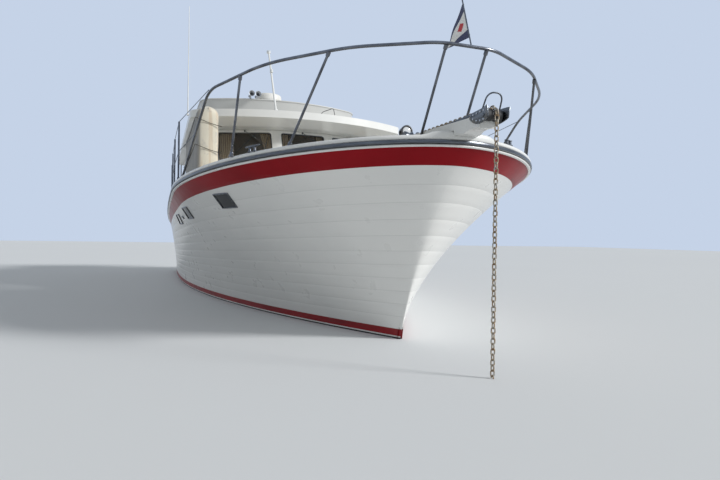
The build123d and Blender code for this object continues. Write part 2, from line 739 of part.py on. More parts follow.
def build_flybridge():
    outer = loft([fly_plan(ROOF_TOP_Z, FLY_LEAN), fly_plan(FLY_RIM_Z, 0)], ruled=True)
    inner = loft([fly_plan(ROOF_TOP_Z, FLY_LEAN + FLY_WALL), fly_plan(FLY_RIM_Z, FLY_WALL)], ruled=True)
    cap = extrude(fly_plan(FLY_RIM_Z, -CAP_OUT), CAP_THICK, dir=(0, 0, 1))
    cap -= extrude(fly_plan(FLY_RIM_Z, FLY_WALL + CAP_IN), CAP_THICK, dir=(0, 0, 1))
    open_aft = box(FLY_AFT_X - 500, FLY_OPEN_X, -3000, 3000, ROOF_TOP_Z, 5000)
    write("flybridge_coaming", (outer - inner + cap) - open_aft)
    ahead = box(CONSOLE_AFT_X, 2000, -CONSOLE_HALF, CONSOLE_HALF, ROOF_TOP_Z, CONSOLE_TOP_Z)
    boss = Pos(0, 0, -SPINDLE_LONG - BOSS_GAP - BOSS_LONG / 2) * Cylinder(BOSS_R, BOSS_LONG)
    write("helm_console", (inner & ahead) + helm_plane() * boss)
    write("helm_wheel", helm_wheel())
    aft, fore = SEAT_X
    seat = box(aft, fore, -SEAT_HALF, SEAT_HALF, ROOF_TOP_Z, SEAT_Z)
    seat += box(aft - 60, aft, -SEAT_HALF, SEAT_HALF, ROOF_TOP_Z, SEAT_Z + 430)
    write("helm_seat", seat)
    pad = box(aft, fore, -SEAT_HALF, SEAT_HALF, SEAT_Z, SEAT_Z + CUSHION_THICK)
    write("seat_cushion", fillet(pad.edges().group_by(Axis.Z)[-1], 30))
    rest = box(aft, aft + 80, -SEAT_HALF, SEAT_HALF, SEAT_Z + CUSHION_THICK + 1, SEAT_Z + 420)
    write("back_cushion", fillet(rest.edges().group_by(Axis.X)[-1], 25))


def helm_plane():
    """The wheel's plane, its normal leaning up and aft from the console."""
    tilt = math.radians(WHEEL_TILT)
    centre = (CONSOLE_AFT_X - WHEEL_OFF, WHEEL_Y, WHEEL_Z)
    return Plane(origin=centre, x_dir=(0, 1, 0), z_dir=(-math.cos(tilt), 0, math.sin(tilt)))


def helm_wheel():
    """Rim, spokes, hub and the spindle, which ends at the boss on the console."""
    wheel = Torus(WHEEL_R, WHEEL_RIM_R) + Cylinder(42, 40)
    wheel += Pos(0, 0, -SPINDLE_LONG / 2) * Cylinder(SPINDLE_R, SPINDLE_LONG)
    for i in range(WHEEL_SPOKES):
        angle = 18 + i * 360 / WHEEL_SPOKES
        wheel += Rot(0, 0, angle) * rod((30, 0, 0), (WHEEL_R, 0, 0), 8)
    return helm_plane() * wheel


def upright(x, y, z, r, high):
    return Pos(x, y, z) * Cylinder(r, high, align=(Align.CENTER, Align.CENTER, Align.MIN))


def build_roof_gear():
    stand = CAP_THICK + 5
    dome = fillet(upright(RADOME_X, RADOME_Y, CONSOLE_TOP_Z + stand, RADOME_R, RADOME_HIGH).edges(), 45)
    write("radome", dome + upright(RADOME_X, RADOME_Y, CONSOLE_TOP_Z, 110, stand))
    horns = []
    for y in HORNS_Y:
        throat = HORN_R * 0.35
        bell = Cone(throat, HORN_R, 90, align=(Align.CENTER, Align.CENTER, Align.MIN))
        horn = Pos(HORN_X, y, HORN_Z) * Rot(0, 90, 0) * bell
        horn += rod((HORN_X - 190, y, HORN_Z), (HORN_X, y, HORN_Z), throat)
        horn += box(HORN_X - 120, HORN_X - 60, y - 14, y + 14, FLY_RIM_Z + CAP_THICK, HORN_Z)
        horns.append(horn)
    write("horns", horns)
    mast = rod(MAST_FOOT, MAST_HEAD, MAST_R) & box(-9000, 9000, -4000, 4000, ROOF_TOP_Z, 9000)
    mast += Pos(*MAST_HEAD) * Cylinder(34, 45)
    foot_share = (ROOF_TOP_Z - MAST_FOOT[2]) / (MAST_HEAD[2] - MAST_FOOT[2])
    foot_x = MAST_FOOT[0] + foot_share * (MAST_HEAD[0] - MAST_FOOT[0])
    write("signal_mast", mast + upright(foot_x, MAST_FOOT[1], ROOF_TOP_Z, 38, 16))
    inner_y = WHIP_Y + 32
    bracket = box(WHIP_X - 30, WHIP_X + 30, inner_y, -FLY_HALF, WHIP_Z - 45, WHIP_Z + 30)
    rim_side = box(WHIP_X - 200, WHIP_X + 200, -FLY_HALF - CAP_OUT, 0, FLY_RIM_Z, FLY_RIM_Z + CAP_THICK)
    write("whip_mount", bracket - rim_side)
    seated = (Align.CENTER, Align.CENTER, Align.MIN)
    whip = Pos(WHIP_X, WHIP_Y, WHIP_Z) * Cone(WHIP_R, 5, WHIP_LONG, align=seated)
    write("vhf_whip", whip + rod((WHIP_X, WHIP_Y - 20, WHIP_Z), (WHIP_X, inner_y - 0.2, WHIP_Z), 24))


def trunk_solid():
    shoulder = (TRUNK_FORE_X - 500, TRUNK_HALF - 150, 0)
    nose = ThreePointArc(shoulder, (TRUNK_FORE_X, 0, 0), (shoulder[0], -shoulder[1], 0))
    aft = HOUSE_FRONT_X - 200
    corners = [(shoulder[0], -shoulder[1], 0), (aft, -TRUNK_HALF, 0), (aft, TRUNK_HALF, 0), shoulder]
    plan = make_face([nose, Polyline(*corners)])
    trunk = extrude(plan, TRUNK_TOP_Z, dir=(0, 0, 1))
    rim = [edge for edge in trunk.edges().group_by(Axis.Z)[-1] if edge.center().X > aft + 50]
    return (fillet(rim, 60) & above_sheer(DECK_THICK)) - house_solid(0)


def build_foredeck():
    trunk = trunk_solid()
    write("trunk_cabin", trunk)
    aft, fore = HATCH_X
    top = TRUNK_TOP_Z + HATCH_COAMING
    frame = box(aft, fore, -HATCH_HALF, HATCH_HALF, TRUNK_TOP_Z, top)
    inside = HATCH_HALF - HATCH_WALL
    frame -= box(aft + HATCH_WALL, fore - HATCH_WALL, -inside, inside, TRUNK_TOP_Z, top)
    write("hatch_coaming", frame)
    lid = box(aft, fore, -HATCH_HALF, HATCH_HALF, top, top + LID_THICK)
    lid = fillet(lid.edges().group_by(Axis.Z)[-1], 12)
    for y in HATCH_KNUCKLES_Y:
        low, high = y - KNUCKLE_LONG / 2, y + KNUCKLE_LONG / 2
        pivot = fore + HATCH_PIVOT_OUT
        lid += rod((pivot, low, top), (pivot, high, top), KNUCKLE_R)
        lid += box(fore - 2, pivot, low, high, top + 1, top + 1 + LEAF_THICK)
    write("hatch_lid", lid)
    lamp = Pos(LAMP_X, LAMP_Y, LAMP_Z) * Rot(0, 90, 0) * Cylinder(LAMP_R, LAMP_LONG)
    lamp += Pos(LAMP_X - LAMP_LONG / 2, LAMP_Y, LAMP_Z) * Sphere(LAMP_R * 0.8)
    lamp += upright(LAMP_X, LAMP_Y, TRUNK_TOP_Z, 16, LAMP_Z - TRUNK_TOP_Z)
    lamp += upright(LAMP_X, LAMP_Y, TRUNK_TOP_Z, 45, 12)
    write("searchlight", lamp - trunk)
    platform = anchor_platform()
    write("anchor_platform", platform)
    write("windlass", windlass())
    write("roller_cheeks", roller_cheeks())
    bore = Cylinder(AXLE_R + RUN_CLEAR, 3 * ROLLER_HALF)
    roller = Cylinder(ROLLER_R, 2 * ROLLER_HALF) - bore - Torus(ROLLER_R + 6, 16)
    write("bow_roller", Pos(ROLLER_X, 0, ROLLER_Z) * Rot(90, 0, 0) * roller)
    write("anchor_chain", chain_links())
    write("anchor", anchor())
    write("cleats", [one for x in CLEATS_X for one in both(cleat(x))])
    return platform


def cleat(x):
    """A two-horned cleat on the port gunwale, in line with the deck edge."""
    slope = (deck_half(x + 5) - deck_half(x - 5)) / 10
    y, z = deck_half(x) - CLEAT_IN, sheer_z(x) + GUNWALE_TOP
    horns = rod((-CLEAT_LONG / 2, 0, CLEAT_HIGH), (CLEAT_LONG / 2, 0, CLEAT_HIGH), CLEAT_R)
    foot_x, foot_high = CLEAT_LONG / 6, CLEAT_HIGH + CLEAT_SUNK
    feet = [upright(side * foot_x, 0, -CLEAT_SUNK, CLEAT_R, foot_high) for side in (-1, 1)]
    body = Pos(x, y, z) * Rot(0, 0, math.degrees(math.atan(slope))) * (horns + feet[0] + feet[1])
    return body & above_sheer(GUNWALE_TOP)


def anchor_platform():
    """The white plank over the stem that carries the roller, tapering to its nose."""
    low, back, chin = 1700, -PLATFORM_ROOT_HALF, (PLATFORM_NOSE_X - 10, 1900)
    heel = (STEM_HEAD_X - 60, low)
    side = [heel, (PLATFORM_ROOT_X, low), (PLATFORM_ROOT_X, 1975), (PLATFORM_NOSE_X, 2012)]
    side += [(PLATFORM_NOSE_X + 10, 1990), chin]
    hollow = ThreePointArc((chin[0], back, chin[1]), (STEM_HEAD_X + 60, back, 1850), (heel[0], back, heel[1]))
    face = make_face([Polyline(*[(x, back, z) for x, z in side]), hollow])
    body = extrude(face, 2 * PLATFORM_ROOT_HALF, dir=(0, 1, 0))
    neck, tip = PLATFORM_NOSE_X - 160, PLATFORM_NOSE_X + 60
    plan = [(PLATFORM_ROOT_X - 1, PLATFORM_ROOT_HALF), (neck, PLATFORM_NOSE_HALF), (tip, PLATFORM_NOSE_HALF)]
    plan += [(x, -y) for x, y in reversed(plan)]
    body = body & extrude(make_face(Polyline(*plan, close=True)), 3000, dir=(0, 0, 1))
    return body - (deck_plan(RUB_STRIP_OUT) & sheer_slab(-3000, GUNWALE_TOP))


def windlass():
    """A low windlass: its case on the deck and the chain wheel's drum across it."""
    case = box(WINDLASS_X - 130, WINDLASS_X + 110, -110, 110, 1700, WINDLASS_Z - 40)
    case = fillet(case.edges().group_by(Axis.Z)[-1], 18) & above_sheer(DECK_THICK)
    drum = Cylinder(DRUM_R, 360) - Torus(DRUM_R + 8, DRUM_GROOVE_R)
    return case + Pos(WINDLASS_X, 0, WINDLASS_Z) * Rot(90, 0, 0) * drum


def roller_cheeks():
    """Two plates beside the platform's nose, joined by the axle, with the bail over them."""
    side = [
        (PLATFORM_NOSE_X - 150, 1960), (PLATFORM_NOSE_X - 150, 2050), (ROLLER_X + 105, 2085),
        (ROLLER_X + 120, 1995), (ROLLER_X + 60, 1900), (PLATFORM_NOSE_X - 40, 1890),
    ]
    outer = PLATFORM_NOSE_HALF + CHEEK_THICK
    plates = profile(side, PLATFORM_NOSE_HALF, outer) + profile(side, -outer, -PLATFORM_NOSE_HALF)
    plates += Pos(ROLLER_X, 0, ROLLER_Z) * Rot(90, 0, 0) * Cylinder(AXLE_R, 2 * outer)
    mid = PLATFORM_NOSE_HALF + CHEEK_THICK / 2
    port = [(ROLLER_X - 30, mid, 2050), (ROLLER_X + 20, mid * 0.9, 2160)]
    line = FilletPolyline(*port, *[(x, -y, z) for x, y, z in reversed(port)], radius=55)
    return plates + sweep(Plane(line @ 0, z_dir=line % 0) * Circle(BAIL_R), path=line)


def chain_point(distance):
    """Place and direction on the chain's route: up to the roller, round it and aft."""
    rise = ROLLER_Z - CHAIN_FOOT_Z
    if distance < rise:
        return (ROLLER_X + CHAIN_R, CHAIN_FOOT_Z + distance), (0, 1)
    aft_x, aft_z = WINDLASS_X - ROLLER_X, WINDLASS_Z + DRUM_R + LINK_WIDTH / 2 - ROLLER_Z
    turn = math.pi - math.atan2(aft_z, -aft_x) - math.acos(CHAIN_R / math.hypot(aft_x, aft_z))
    angle = min((distance - rise) / CHAIN_R, turn)
    past = distance - rise - CHAIN_R * turn
    along = (-math.sin(angle), math.cos(angle))
    x, z = ROLLER_X + CHAIN_R * math.cos(angle), ROLLER_Z + CHAIN_R * math.sin(angle)
    if past > 0:
        x, z = x + past * along[0], z + past * along[1]
    return (x, z), along


def link(centre, along, turned):
    """One link of square bar, straight-sided, round a long eye."""
    half_wide = LINK_WIDTH / 2
    inner_long = (LINK_PITCH + LINK_GAP) / 2
    half_long = inner_long + LINK_WIRE
    chamfer = half_wide - LINK_WIRE / 2
    outer = [(half_long, LINK_WIRE / 2), (half_long - chamfer, half_wide)]
    outer += [(-x, y) for x, y in reversed(outer)]
    eye_wide = half_wide - LINK_WIRE
    eye = [(inner_long, eye_wide / 2), (inner_long - eye_wide / 2, eye_wide)]
    eye += [(-x, y) for x, y in reversed(eye)]
    rings = [half + [(x, -y) for x, y in reversed(half)] for half in (outer, eye)]
    loops = [make_face(Polyline(*ring, close=True)) for ring in rings]
    ahead = Vector(along[0], 0, along[1])
    normal = Vector(0, 1, 0) if turned else ahead.cross(Vector(0, 1, 0))
    plane = Plane(origin=(centre[0], 0, centre[1]), x_dir=ahead, z_dir=normal)
    return plane * extrude(loops[0] - loops[1], LINK_WIRE / 2, both=True)


def chain_links():
    """The chain from the anchor up over the roller and aft to the windlass."""
    reach = ROLLER_Z - CHAIN_FOOT_Z + CHAIN_R * 1.6 + ROLLER_X - WINDLASS_X
    return [link(*chain_point(i * LINK_PITCH), i % 2) for i in range(int(reach / LINK_PITCH) - 1)]


def anchor():
    """A plough anchor, its shank hung by the eye from the last link."""
    x, bar = ROLLER_X + CHAIN_R, CHAIN_FOOT_Z - (LINK_PITCH + LINK_GAP + LINK_WIRE) / 2
    top, foot = bar + 2 * LINK_WIRE, bar - SHANK_LONG
    half = LINK_WIDTH / 2 - LINK_WIRE - 1
    neck = bar - 2.7 * LINK_WIRE
    shank = profile([(x - 26, neck), (x + 26, neck), (x + 40, foot), (x - 40, foot)], -half, half)
    head_half = half / 2
    head = [(x - 22, top), (x + 22, top), (x + 26, neck - 5), (x - 26, neck - 5)]
    shank += profile(head, -head_half, head_half)
    shank -= Pos(x, 0, bar - 1) * Rot(90, 0, 0) * Cylinder(LINK_WIRE * 0.78, 4 * half)
    share = Polyline((x - 40, -190), (x + 110, 0), (x - 40, 190), (x - 10, 0), close=True)
    tip = Polyline((x + 40, -8), (x + 130, 0), (x + 40, 8), (x + 34, 0), close=True)
    plough = Solid.make_loft([
        Pos(0, 0, foot - 40) * Wire(share.edges()),
        Pos(0, 0, foot + 260) * Wire(tip.edges()),
    ], True)
    return shank + plough


def bow_rail(platform):
    """The rail round the bow with its stanchions, down to the gunwale."""
    port = [row[:3] for row in RAIL_PATH]
    bends = [row[3] for row in RAIL_PATH[1:]]
    line = FilletPolyline(*port, *[(x, -y, z) for x, y, z in reversed(port)], radius=bends + bends[::-1])
    rail = sweep(Plane(line @ 0, z_dir=line % 0) * Circle(RAIL_R), path=line)
    for foot_x, foot_y, x, y, z in STANCHIONS:
        foot_z = sheer_z(foot_x) + GUNWALE_TOP - 60
        for side in (1, -1):
            rail += rod((foot_x, side * foot_y, foot_z), (x, side * y, z), STANCHION_R)
    return (rail & above_sheer(GUNWALE_TOP)) - platform


def side_rail(rail):
    """Port posts on the gunwale with two wires, made fast to the bow rail's aft run."""
    foot, head = RAIL_PATH[0][:3], RAIL_PATH[1][:3]
    low_end = tuple(a + RAIL_WIRE_FOOT * (b - a) for a, b in zip(foot, head))
    tops, lows, posts = [head], [low_end], []
    for x in SIDE_POSTS_X:
        y, base = deck_half(x) - SIDE_POST_IN, sheer_z(x) + GUNWALE_TOP
        tops.append((x, y, base + SIDE_POST_HIGH - WIRE_R))
        lows.append((x, y, base + WIRE_LOW))
        posts.append(rod((x, y, base - 40), (x, y, base + SIDE_POST_HIGH), SIDE_POST_R))
    side = posts[0]
    for post in posts[1:]:
        side += post
    for run in (tops, lows):
        for start, end in zip(run, run[1:]):
            side += rod(start, end, WIRE_R)
    return (side & above_sheer(GUNWALE_TOP)) - rail


def staff_point(share):
    return tuple(a + share * (b - a) for a, b in zip(STAFF_FOOT, STAFF_HEAD))


def build_rails(platform):
    rail = bow_rail(platform)
    write("bow_rail", rail)
    port = side_rail(rail)
    write("side_rail_port", port)
    write("side_rail_starboard", mirror(port, about=Plane.XZ))
    staff = rod(STAFF_FOOT, STAFF_HEAD, STAFF_R) - rail
    write("pennant_staff", staff)
    low, high = (staff_point(share) for share in PENNANT_HOIST)
    y = (low[1] + high[1]) / 2
    outline = [(low[0], low[2]), (high[0], high[2]), PENNANT_FLY]
    flag = profile(outline, y - PENNANT_THICK / 2, y + PENNANT_THICK / 2)
    write("pennant", flag - staff)


def build_tender():
    """The tender stands on edge on the side deck, in its canvas cover."""
    cover = box(*TENDER_X, *TENDER_Y, 1300, TENDER_TOP_Z)
    long_edges = [edge for edge in cover.edges().group_by(Axis.Z)[-1] if edge.length > 1000]
    cover = fillet(long_edges, TENDER_ROUND)
    write("tender_cover", cover & above_sheer(DECK_THICK))


build_hull()
build_running_gear()
build_house()
build_saloon()
build_roof()
build_flybridge()
build_roof_gear()
build_rails(build_foredeck())
build_tender()
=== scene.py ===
# Trawler yacht: smooth plating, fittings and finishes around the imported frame.
# Metres. x runs forward, y to port, z up, and the waterline lies at z = 0.
import bpy
import bmesh
import math
from mathutils import Matrix, Quaternion, Vector, noise


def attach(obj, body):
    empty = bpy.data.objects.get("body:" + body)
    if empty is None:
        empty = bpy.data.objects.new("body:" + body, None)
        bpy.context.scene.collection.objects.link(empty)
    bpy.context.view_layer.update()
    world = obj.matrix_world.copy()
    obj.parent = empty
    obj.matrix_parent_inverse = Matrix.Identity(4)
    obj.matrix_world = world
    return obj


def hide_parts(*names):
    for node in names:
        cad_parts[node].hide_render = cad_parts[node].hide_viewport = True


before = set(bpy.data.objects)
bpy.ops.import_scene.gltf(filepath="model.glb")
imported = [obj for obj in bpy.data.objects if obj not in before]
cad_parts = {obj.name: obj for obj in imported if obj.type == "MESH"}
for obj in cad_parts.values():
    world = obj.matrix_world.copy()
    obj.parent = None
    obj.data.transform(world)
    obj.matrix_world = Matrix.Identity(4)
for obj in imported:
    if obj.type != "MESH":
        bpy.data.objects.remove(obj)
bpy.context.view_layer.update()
scene = bpy.context.scene
up = Vector((0, 0, 1))
easedFrom = math.radians(38)  # edges sharper than this are eased


# Nodes and finishes

# Sockets are linked in, and numbers set as the input's own value
def fill(tree, node, inputs):
    for key, value in inputs.items():
        if isinstance(value, bpy.types.NodeSocket):
            tree.links.new(value, node.inputs[key])
        else:
            node.inputs[key].default_value = value


def addNode(tree, kind, inputs=None, **settings):
    node = tree.nodes.new(kind)
    for key, value in settings.items():
        setattr(node, key, value)
    fill(tree, node, inputs or {})
    return node


def startFinish(name, **shaderValues):
    finish = bpy.data.materials.new(name)
    finish.use_nodes = True
    tree = finish.node_tree
    shader = tree.nodes["Principled BSDF"]
    fill(tree, shader, {key.replace("_", " "): value for key, value in shaderValues.items()})
    return finish, tree, shader


def objectPlace(tree, stretch=(1, 1, 1)):
    place = addNode(tree, "ShaderNodeTexCoord").outputs["Object"]
    return addNode(tree, "ShaderNodeMapping", {"Vector": place, "Scale": stretch}).outputs["Vector"]


def cloud(tree, place, scale, low=0.35, high=0.65):
    grain = addNode(tree, "ShaderNodeTexNoise", {"Vector": place, "Scale": scale, "Detail": 5.0})
    return ranged(tree, grain.outputs["Fac"], low, high)


def between(tree, share, first, second):
    mix = addNode(tree, "ShaderNodeMix", {0: share, 6: first, 7: second}, data_type="RGBA")
    return mix.outputs[2]


def sums(tree, operation, first, second=0.0, third=0.0):
    values = {0: first, 1: second, 2: third}
    return addNode(tree, "ShaderNodeMath", values, operation=operation).outputs[0]


def ranged(tree, value, low, high, newLow=0.0, newHigh=1.0):
    spread = {"Value": value, "From Min": low, "From Max": high, "To Min": newLow, "To Max": newHigh}
    return addNode(tree, "ShaderNodeMapRange", spread).outputs["Result"]


def bumpFrom(tree, shader, height, strength, distance=0.002):
    bump = addNode(tree, "ShaderNodeBump", {"Height": height, "Strength": strength, "Distance": distance})
    tree.links.new(bump.outputs["Normal"], shader.inputs["Normal"])


def rgb(red, green, blue):
    return red, green, blue, 1.0


def stained(tree, base, mask, strength, colour):
    return between(tree, sums(tree, "MULTIPLY", mask, strength), base, rgb(*colour))


# Paint, plastic and metal: two tones in soft clouds, uneven gloss and a fine grain
def plainFinish(name, colour, shade, gloss=(0.3, 0.42), scale=1.5, stretch=(1, 1, 1), grain=0.0,
                grainScale=90.0, **shaderValues):
    finish, tree, shader = startFinish(name, **shaderValues)
    place = objectPlace(tree, stretch)
    tone = between(tree, cloud(tree, place, scale), rgb(*colour), rgb(*shade))
    sheen = ranged(tree, cloud(tree, place, scale * 3.7, 0.2, 0.8), 0, 1, *gloss)
    fill(tree, shader, {"Base Color": tone, "Roughness": sheen})
    if grain:
        bumpFrom(tree, shader, cloud(tree, place, grainScale, 0, 1), grain)
    return finish


def plankPaint():
    finish, tree, shader = startFinish("plankPaint", Coat_Weight=0.25, Coat_Roughness=0.12)
    place = objectPlace(tree)
    base = between(tree, cloud(tree, place, 0.9), rgb(0.80, 0.795, 0.765), rgb(0.755, 0.755, 0.73))
    streak = cloud(tree, objectPlace(tree, (11, 11, 0.5)), 1.0, 0.60, 0.95)
    base = stained(tree, base, streak, 0.12, (0.66, 0.645, 0.59))
    seam = addNode(tree, "ShaderNodeAttribute", attribute_name="seam").outputs["Fac"]
    base = stained(tree, base, seam, 0.40, (0.42, 0.42, 0.40))
    rough = ranged(tree, cloud(tree, place, 5.0, 0.2, 0.8), 0, 1, 0.24, 0.38)
    fill(tree, shader, {"Base Color": base, "Roughness": rough})
    bumpFrom(tree, shader, cloud(tree, objectPlace(tree, (1, 1, 4)), 2.2, 0, 1), 0.05, 0.006)
    return finish


# Planks side by side across the boat, their grain fore and aft or upright
def teakPlanks(name, width, upright=False, dark=0.0):
    finish, tree, shader = startFinish(name)
    grain = cloud(tree, objectPlace(tree, (34, 34, 1.5) if upright else (1.5, 34, 34)), 1.0, 0.3, 0.7)
    tones = [rgb(*(c * (1 - dark) for c in tone)) for tone in ((0.36, 0.22, 0.115), (0.22, 0.12, 0.06))]
    wood = between(tree, grain, *tones)
    across = addNode(tree, "ShaderNodeSeparateXYZ", {0: objectPlace(tree)}).outputs[1]
    saw = sums(tree, "FRACT", sums(tree, "MULTIPLY_ADD", across, 1 / width, 100.5))
    caulk = ranged(tree, sums(tree, "ABSOLUTE", sums(tree, "SUBTRACT", saw, 0.5)), 0.455, 0.475)
    fill(tree, shader, {"Base Color": between(tree, caulk, wood, rgb(0.03, 0.03, 0.03)),
                        "Roughness": ranged(tree, grain, 0, 1, 0.45, 0.68)})
    bumpFrom(tree, shader, sums(tree, "SUBTRACT", grain, sums(tree, "MULTIPLY", caulk, 2.0)), 0.35)
    return finish


def treadDeck():
    finish, tree, shader = startFinish("treadDeck", Roughness=0.72)
    place = objectPlace(tree)
    tone = between(tree, cloud(tree, place, 1.3), rgb(0.72, 0.68, 0.56), rgb(0.64, 0.60, 0.50))
    fill(tree, shader, {"Base Color": tone})
    pebbles = addNode(tree, "ShaderNodeTexVoronoi", {"Vector": place, "Scale": 260.0}).outputs["Distance"]
    bumpFrom(tree, shader, pebbles, 0.7, 0.0015)
    return finish


def darkGlass(name, colour, transmission=1.0):
    finish, tree, shader = startFinish(name, Transmission_Weight=transmission, IOR=1.45,
                                       Base_Color=rgb(*colour))
    smear = cloud(tree, objectPlace(tree, (1, 1, 0.4)), 3.0, 0.3, 0.8)
    fill(tree, shader, {"Roughness": ranged(tree, smear, 0, 1, 0.015, 0.06)})
    return finish


def rustyZinc():
    finish, tree, shader = startFinish("rustyZinc")
    place = objectPlace(tree)
    rust = cloud(tree, place, 21.0, 0.44, 0.66)
    tone = between(tree, rust, rgb(0.36, 0.35, 0.32), rgb(0.26, 0.15, 0.07))
    tone = between(tree, cloud(tree, place, 90.0, 0.45, 0.7), tone, rgb(0.48, 0.38, 0.23))
    fill(tree, shader, {"Base Color": tone, "Metallic": ranged(tree, rust, 0, 1, 0.75, 0.1),
                        "Roughness": ranged(tree, rust, 0, 1, 0.42, 0.85)})
    bumpFrom(tree, shader, cloud(tree, place, 420.0, 0, 1), 0.6, 0.001)
    return finish


# Woven cloth on a piece's own UV map, laid out in metres
def clothFinish(name, paint, thread=500.0, rough=0.85, bump=0.35):
    finish, tree, shader = startFinish(name, Sheen_Weight=0.25, Sheen_Roughness=0.5)
    flat = addNode(tree, "ShaderNodeUVMap", uv_map="UVMap").outputs["UV"]
    parts = addNode(tree, "ShaderNodeSeparateXYZ", {0: flat}).outputs
    weft, warp = (sums(tree, "SINE", sums(tree, "MULTIPLY", parts[i], thread * math.tau)) for i in (0, 1))
    fill(tree, shader, {"Base Color": paint(tree, parts), "Roughness": rough})
    bumpFrom(tree, shader, sums(tree, "MULTIPLY", weft, warp), bump, 0.0006)
    return finish


def canvasPaint(tree, parts):
    place = objectPlace(tree)
    tone = between(tree, cloud(tree, place, 2.5), rgb(0.74, 0.685, 0.56), rgb(0.64, 0.595, 0.49))
    drip = cloud(tree, objectPlace(tree, (15, 15, 1.1)), 1.0, 0.50, 0.70)
    tone = stained(tree, tone, drip, 0.60, (0.42, 0.25, 0.12))
    mildew = cloud(tree, place, 14.0, 0.56, 0.72)
    tone = stained(tree, tone, mildew, 0.5, (0.36, 0.36, 0.36))
    # The outboard side is painted darker grey in mottled patches: painted shade on the side turned from the
    # sun, with mildew in it too
    across = addNode(tree, "ShaderNodeSeparateXYZ", {0: place}).outputs[1]
    outboardShadeAndMildew = ranged(tree, across, -1.87, -1.92)
    grey = cloud(tree, objectPlace(tree, (1.5, 1.5, 1.1)), 2.2, 0.30, 0.62)
    patches = ranged(tree, grey, 0, 1, 0.70, 0.92)
    return stained(tree, tone, outboardShadeAndMildew, patches, (0.235, 0.24, 0.245))


def curtainPaint(tree, parts):
    stripe = sums(tree, "SINE", sums(tree, "MULTIPLY", parts[0], math.tau / 0.052))
    dark = ranged(tree, stripe, 0.1, 0.75)
    tone = between(tree, dark, rgb(0.45, 0.315, 0.19), rgb(0.22, 0.12, 0.065))
    fine = sums(tree, "SINE", sums(tree, "MULTIPLY", parts[0], math.tau / 0.013))
    return between(tree, ranged(tree, fine, 0.7, 1.0, 0, 0.35), tone, rgb(0.60, 0.46, 0.30))


# UV here runs 0 to 1 down the hoist and 0 to 1 towards the fly
def pennantPaint(tree, parts):
    across = sums(tree, "ABSOLUTE", sums(tree, "SUBTRACT", parts[0], 0.5))
    border = sums(tree, "GREATER_THAN", across, 0.27)
    field = between(tree, border, rgb(0.86, 0.86, 0.84), rgb(0.012, 0.02, 0.09))
    reach = sums(tree, "ABSOLUTE", sums(tree, "SUBTRACT", parts[1], 0.26))
    lozenge = sums(tree, "ADD", sums(tree, "MULTIPLY", across, 6.2), sums(tree, "MULTIPLY", reach, 7.0))
    return between(tree, sums(tree, "LESS_THAN", lozenge, 1.0), field, rgb(0.55, 0.02, 0.03))


